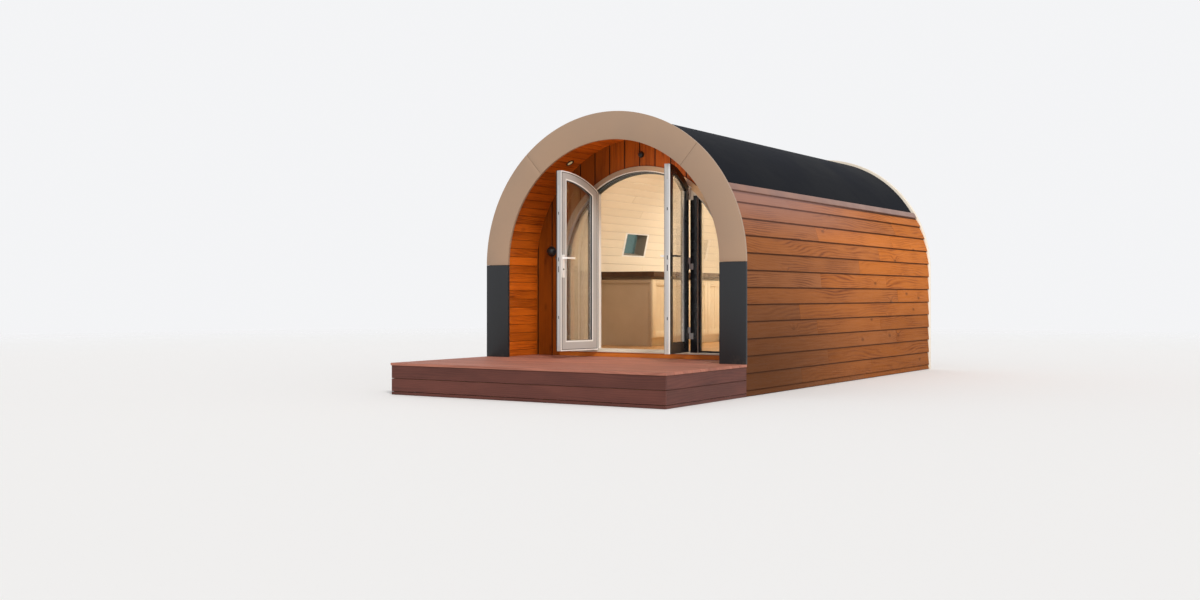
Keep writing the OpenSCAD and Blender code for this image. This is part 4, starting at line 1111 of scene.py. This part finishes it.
def turned(radii, place, cap=True):
    """A turned form from (radius, height) steps, spun about z and then put in its place."""
    mesh = start_mesh()
    points = [mesh.verts.new((max(r, 1e-4), 0, z)) for r, z in radii]
    edges = [mesh.edges.new(pair) for pair in zip(points, points[1:])]
    bmesh.ops.spin(mesh, geom=points + edges, cent=(0, 0, 0), axis=(0, 0, 1), angle=math.tau, steps=32,
                   use_merge=True)
    bmesh.ops.remove_doubles(mesh, verts=mesh.verts, dist=2.5e-4)
    if cap:
        bmesh.ops.holes_fill(mesh, edges=[e for e in mesh.edges if e.is_boundary], sides=0)
    bmesh.ops.recalc_face_normals(mesh, faces=mesh.faces)
    bmesh.ops.transform(mesh, matrix=place, verts=mesh.verts)
    return mesh


def build_lights():
    """Two lights in the porch ceiling, a round fitting above the doors, and a hooded lamp on the wall."""
    rims, lenses = start_mesh(), start_mesh()
    ceiling_y, fitting_z, lamp_x, lamp_z = FRONT_Y + 0.450, SPRING + SCREEN_R + 0.118, -SCREEN_R - 0.102, 1.411
    for angle in (35, -35):
        place = (Matrix.Translation((0, ceiling_y, SPRING)) @ Matrix.Rotation(math.radians(angle), 4, "Y")
                 @ Matrix.Translation((0, 0, PORCH_R - 0.0012)))
        take_in(rims, turned([(0.031, -0.0005), (0.031, -0.006), (0.036, -0.009), (0.0435, -0.006),
                              (0.045, -0.002), (0.045, 0.0)], place))
        take_in(lenses, turned([(0.0, -0.0045), (0.018, -0.0042), (0.0305, -0.002), (0.0305, 0.0),
                                (0.0, 0.0)], place))
    place = Matrix.Translation((0, WALL_Y - HAIR, fitting_z)) @ FACING_FRONT
    take_in(rims, turned([(0.032, 0.0), (0.032, 0.010), (0.030, 0.013), (0.027, 0.0165), (0.0245, 0.022),
                          (0.0235, 0.0268), (0.020, 0.028), (0.0, 0.028)], place))
    place = Matrix.Translation((lamp_x, WALL_Y - HAIR, lamp_z)) @ FACING_FRONT
    take_in(rims, turned([(0.055, 0.0), (0.055, 0.010), (0.0535, 0.013), (0.050, 0.014), (0.048, 0.020),
                          (0.044, 0.028)], place, cap=False))
    smoked = turned([(0.046, 0.020), (0.042, 0.030), (0.034, 0.040), (0.020, 0.047), (0.0, 0.049)], place)
    piece("wall_lamp_glass", smoked, SMOKED)
    eyelid = turned([(0.0505, 0.0135), (0.0465, 0.030), (0.038, 0.045), (0.022, 0.056), (0.0, 0.0595),
                     (0.0, 0.0570), (0.021, 0.0535), (0.036, 0.043), (0.0445, 0.029), (0.0485, 0.0135),
                     (0.0505, 0.0135)],
                    Matrix.Identity(4), cap=False)
    cut(eyelid, (0, -0.012, 0), (0, -1, 0), clear=True)
    bmesh.ops.holes_fill(eyelid, edges=[e for e in eyelid.edges if e.is_boundary], sides=0)
    take_in(rims, eyelid, place)
    piece("light_housings", rims, BLACK, replaces=["porch_lights"])
    piece("light_lenses", lenses, LENS)


# ---------------------------------------------------------------- assembly

build_shell()
build_deck()
build_screen()
for hand in (1, -1):
    build_leaf(hand)
build_kitchen()
build_window_reveal()
build_lights()

# The CAD nodes that stay in view, with their finishes.
CARRIED = {
    SAWN_TIMBER: ["floor_bearers", "floor_panel", "deck_frame"],
    CREAM_LINING: ["left_wall", "right_wall", "left_vault", "crown_vault", "right_vault"],
    PALE_FRAME: ["frame_head", "frame_posts", "left_door_leaf", "right_door_leaf"],
    GLASS: ["left_side_light", "right_side_light", "left_door_glass", "right_door_glass"],
    WINDOW_GLASS_PAINTED_DARK: ["side_window_glass"],
    HANDLE: ["left_door_handles", "right_door_handles"],
    WINDOW_PAINT: ["side_window_frame"],
}
for material, nodes in CARRIED.items():
    for node in nodes:
        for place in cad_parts[node].material_slots:
            place.material = material


# ---------------------------------------------------------------- camera, floor and light

camera_data = bpy.data.cameras.new("camera")
camera_data.sensor_width = 36.0
camera_data.lens = 38.286
camera_data.shift_y = -0.0038
camera = link("camera", camera_data)
camera.location = (6.661, -12.635, 0.939)
camera.rotation_euler = (math.radians(90), 0, math.radians(32.325))
bpy.context.scene.camera = camera


def aimed(name, data, direction):
    made = link(name, data)
    made.rotation_euler = Vector(direction).to_track_quat("-Z", "Y").to_euler()
    return made


def lamp(name, place, target, size, energy, colour):
    data = bpy.data.lights.new(name, "AREA")
    data.shape, data.size, data.energy, data.color = "DISK", size, energy, colour
    made = aimed(name, data, Vector(target) - Vector(place))
    made.location = place
    return made


sun = bpy.data.lights.new("key", "SUN")
sun.energy, sun.angle, sun.color = 2.1, math.radians(14), (1.0, 0.965, 0.92)
aimed("key", sun, (-0.80, 0.72, -0.78))
lamp("room", (0.25, -0.45, 2.16), (-0.55, 0.9, 0.9), 0.7, 13, (1.0, 0.90, 0.79))
lamp("room ceiling", (0.1, 1.7, 2.38), (-0.5, 1.6, 0.4), 1.2, 38, (1.0, 0.95, 0.87))
for name, place, target, size, energy in (
        ("glow off the deck", (0.1, -2.75, 0.42), (-0.1, -1.4, 1.9), 1.3, 9),
        ("glow in the porch", (0.52, -1.74, 1.96), (0.38, -1.31, 2.40), 0.3, 3.5)):
    glow = lamp(name, place, target, size, energy, (1.0, 0.74, 0.46))
    glow.visible_camera = glow.visible_glossy = glow.visible_transmission = False

# The white surroundings look brighter than they light the pod.
world = bpy.data.worlds.new("studio")
world.use_nodes = True
w = Wiring(world.node_tree)
background = next(n for n in world.node_tree.nodes if n.type == "BACKGROUND")
rays = w.add("ShaderNodeLightPath").outputs
seen = w.math("MAXIMUM", rays["Is Glossy Ray"], rays["Is Transmission Ray"])
seen = w.math("MAXIMUM", rays["Is Camera Ray"], seen)
w.feed(background, "Strength", w.plus(0.55, w.times(seen, 0.37)))
background.inputs["Color"].default_value = (0.98, 0.985, 1.0, 1)
bpy.context.scene.world = world

# A pale round floor that fades out before its rim.
floor_mesh = bmesh.new()
bmesh.ops.create_circle(floor_mesh, cap_ends=True, radius=60, segments=96)
floor_data = bpy.data.meshes.new("studio_floor")
floor_mesh.to_mesh(floor_data)
floor_mesh.free()
w = Finish("studio floor")
far = w.ramp(w.add("ShaderNodeVectorMath", {"operation": "LENGTH"}, i0=w.spot()).outputs[1], 9.0, 26.0)
clear = w.add("ShaderNodeBsdfTransparent").outputs[0]
blend = w.add("ShaderNodeMixShader", i0=far, i1=w.shader.outputs[0], i2=clear)
w.feed(w.tree.nodes["Material Output"], "Surface", blend.outputs[0])
floor_data.materials.append(w.shade(Base_Color=(0.93, 0.93, 0.93, 1), Roughness=0.9))
floor = link("studio_floor", floor_data)
floor.location.z = -0.002
bpy.context.scene.view_settings.view_transform = "Standard"
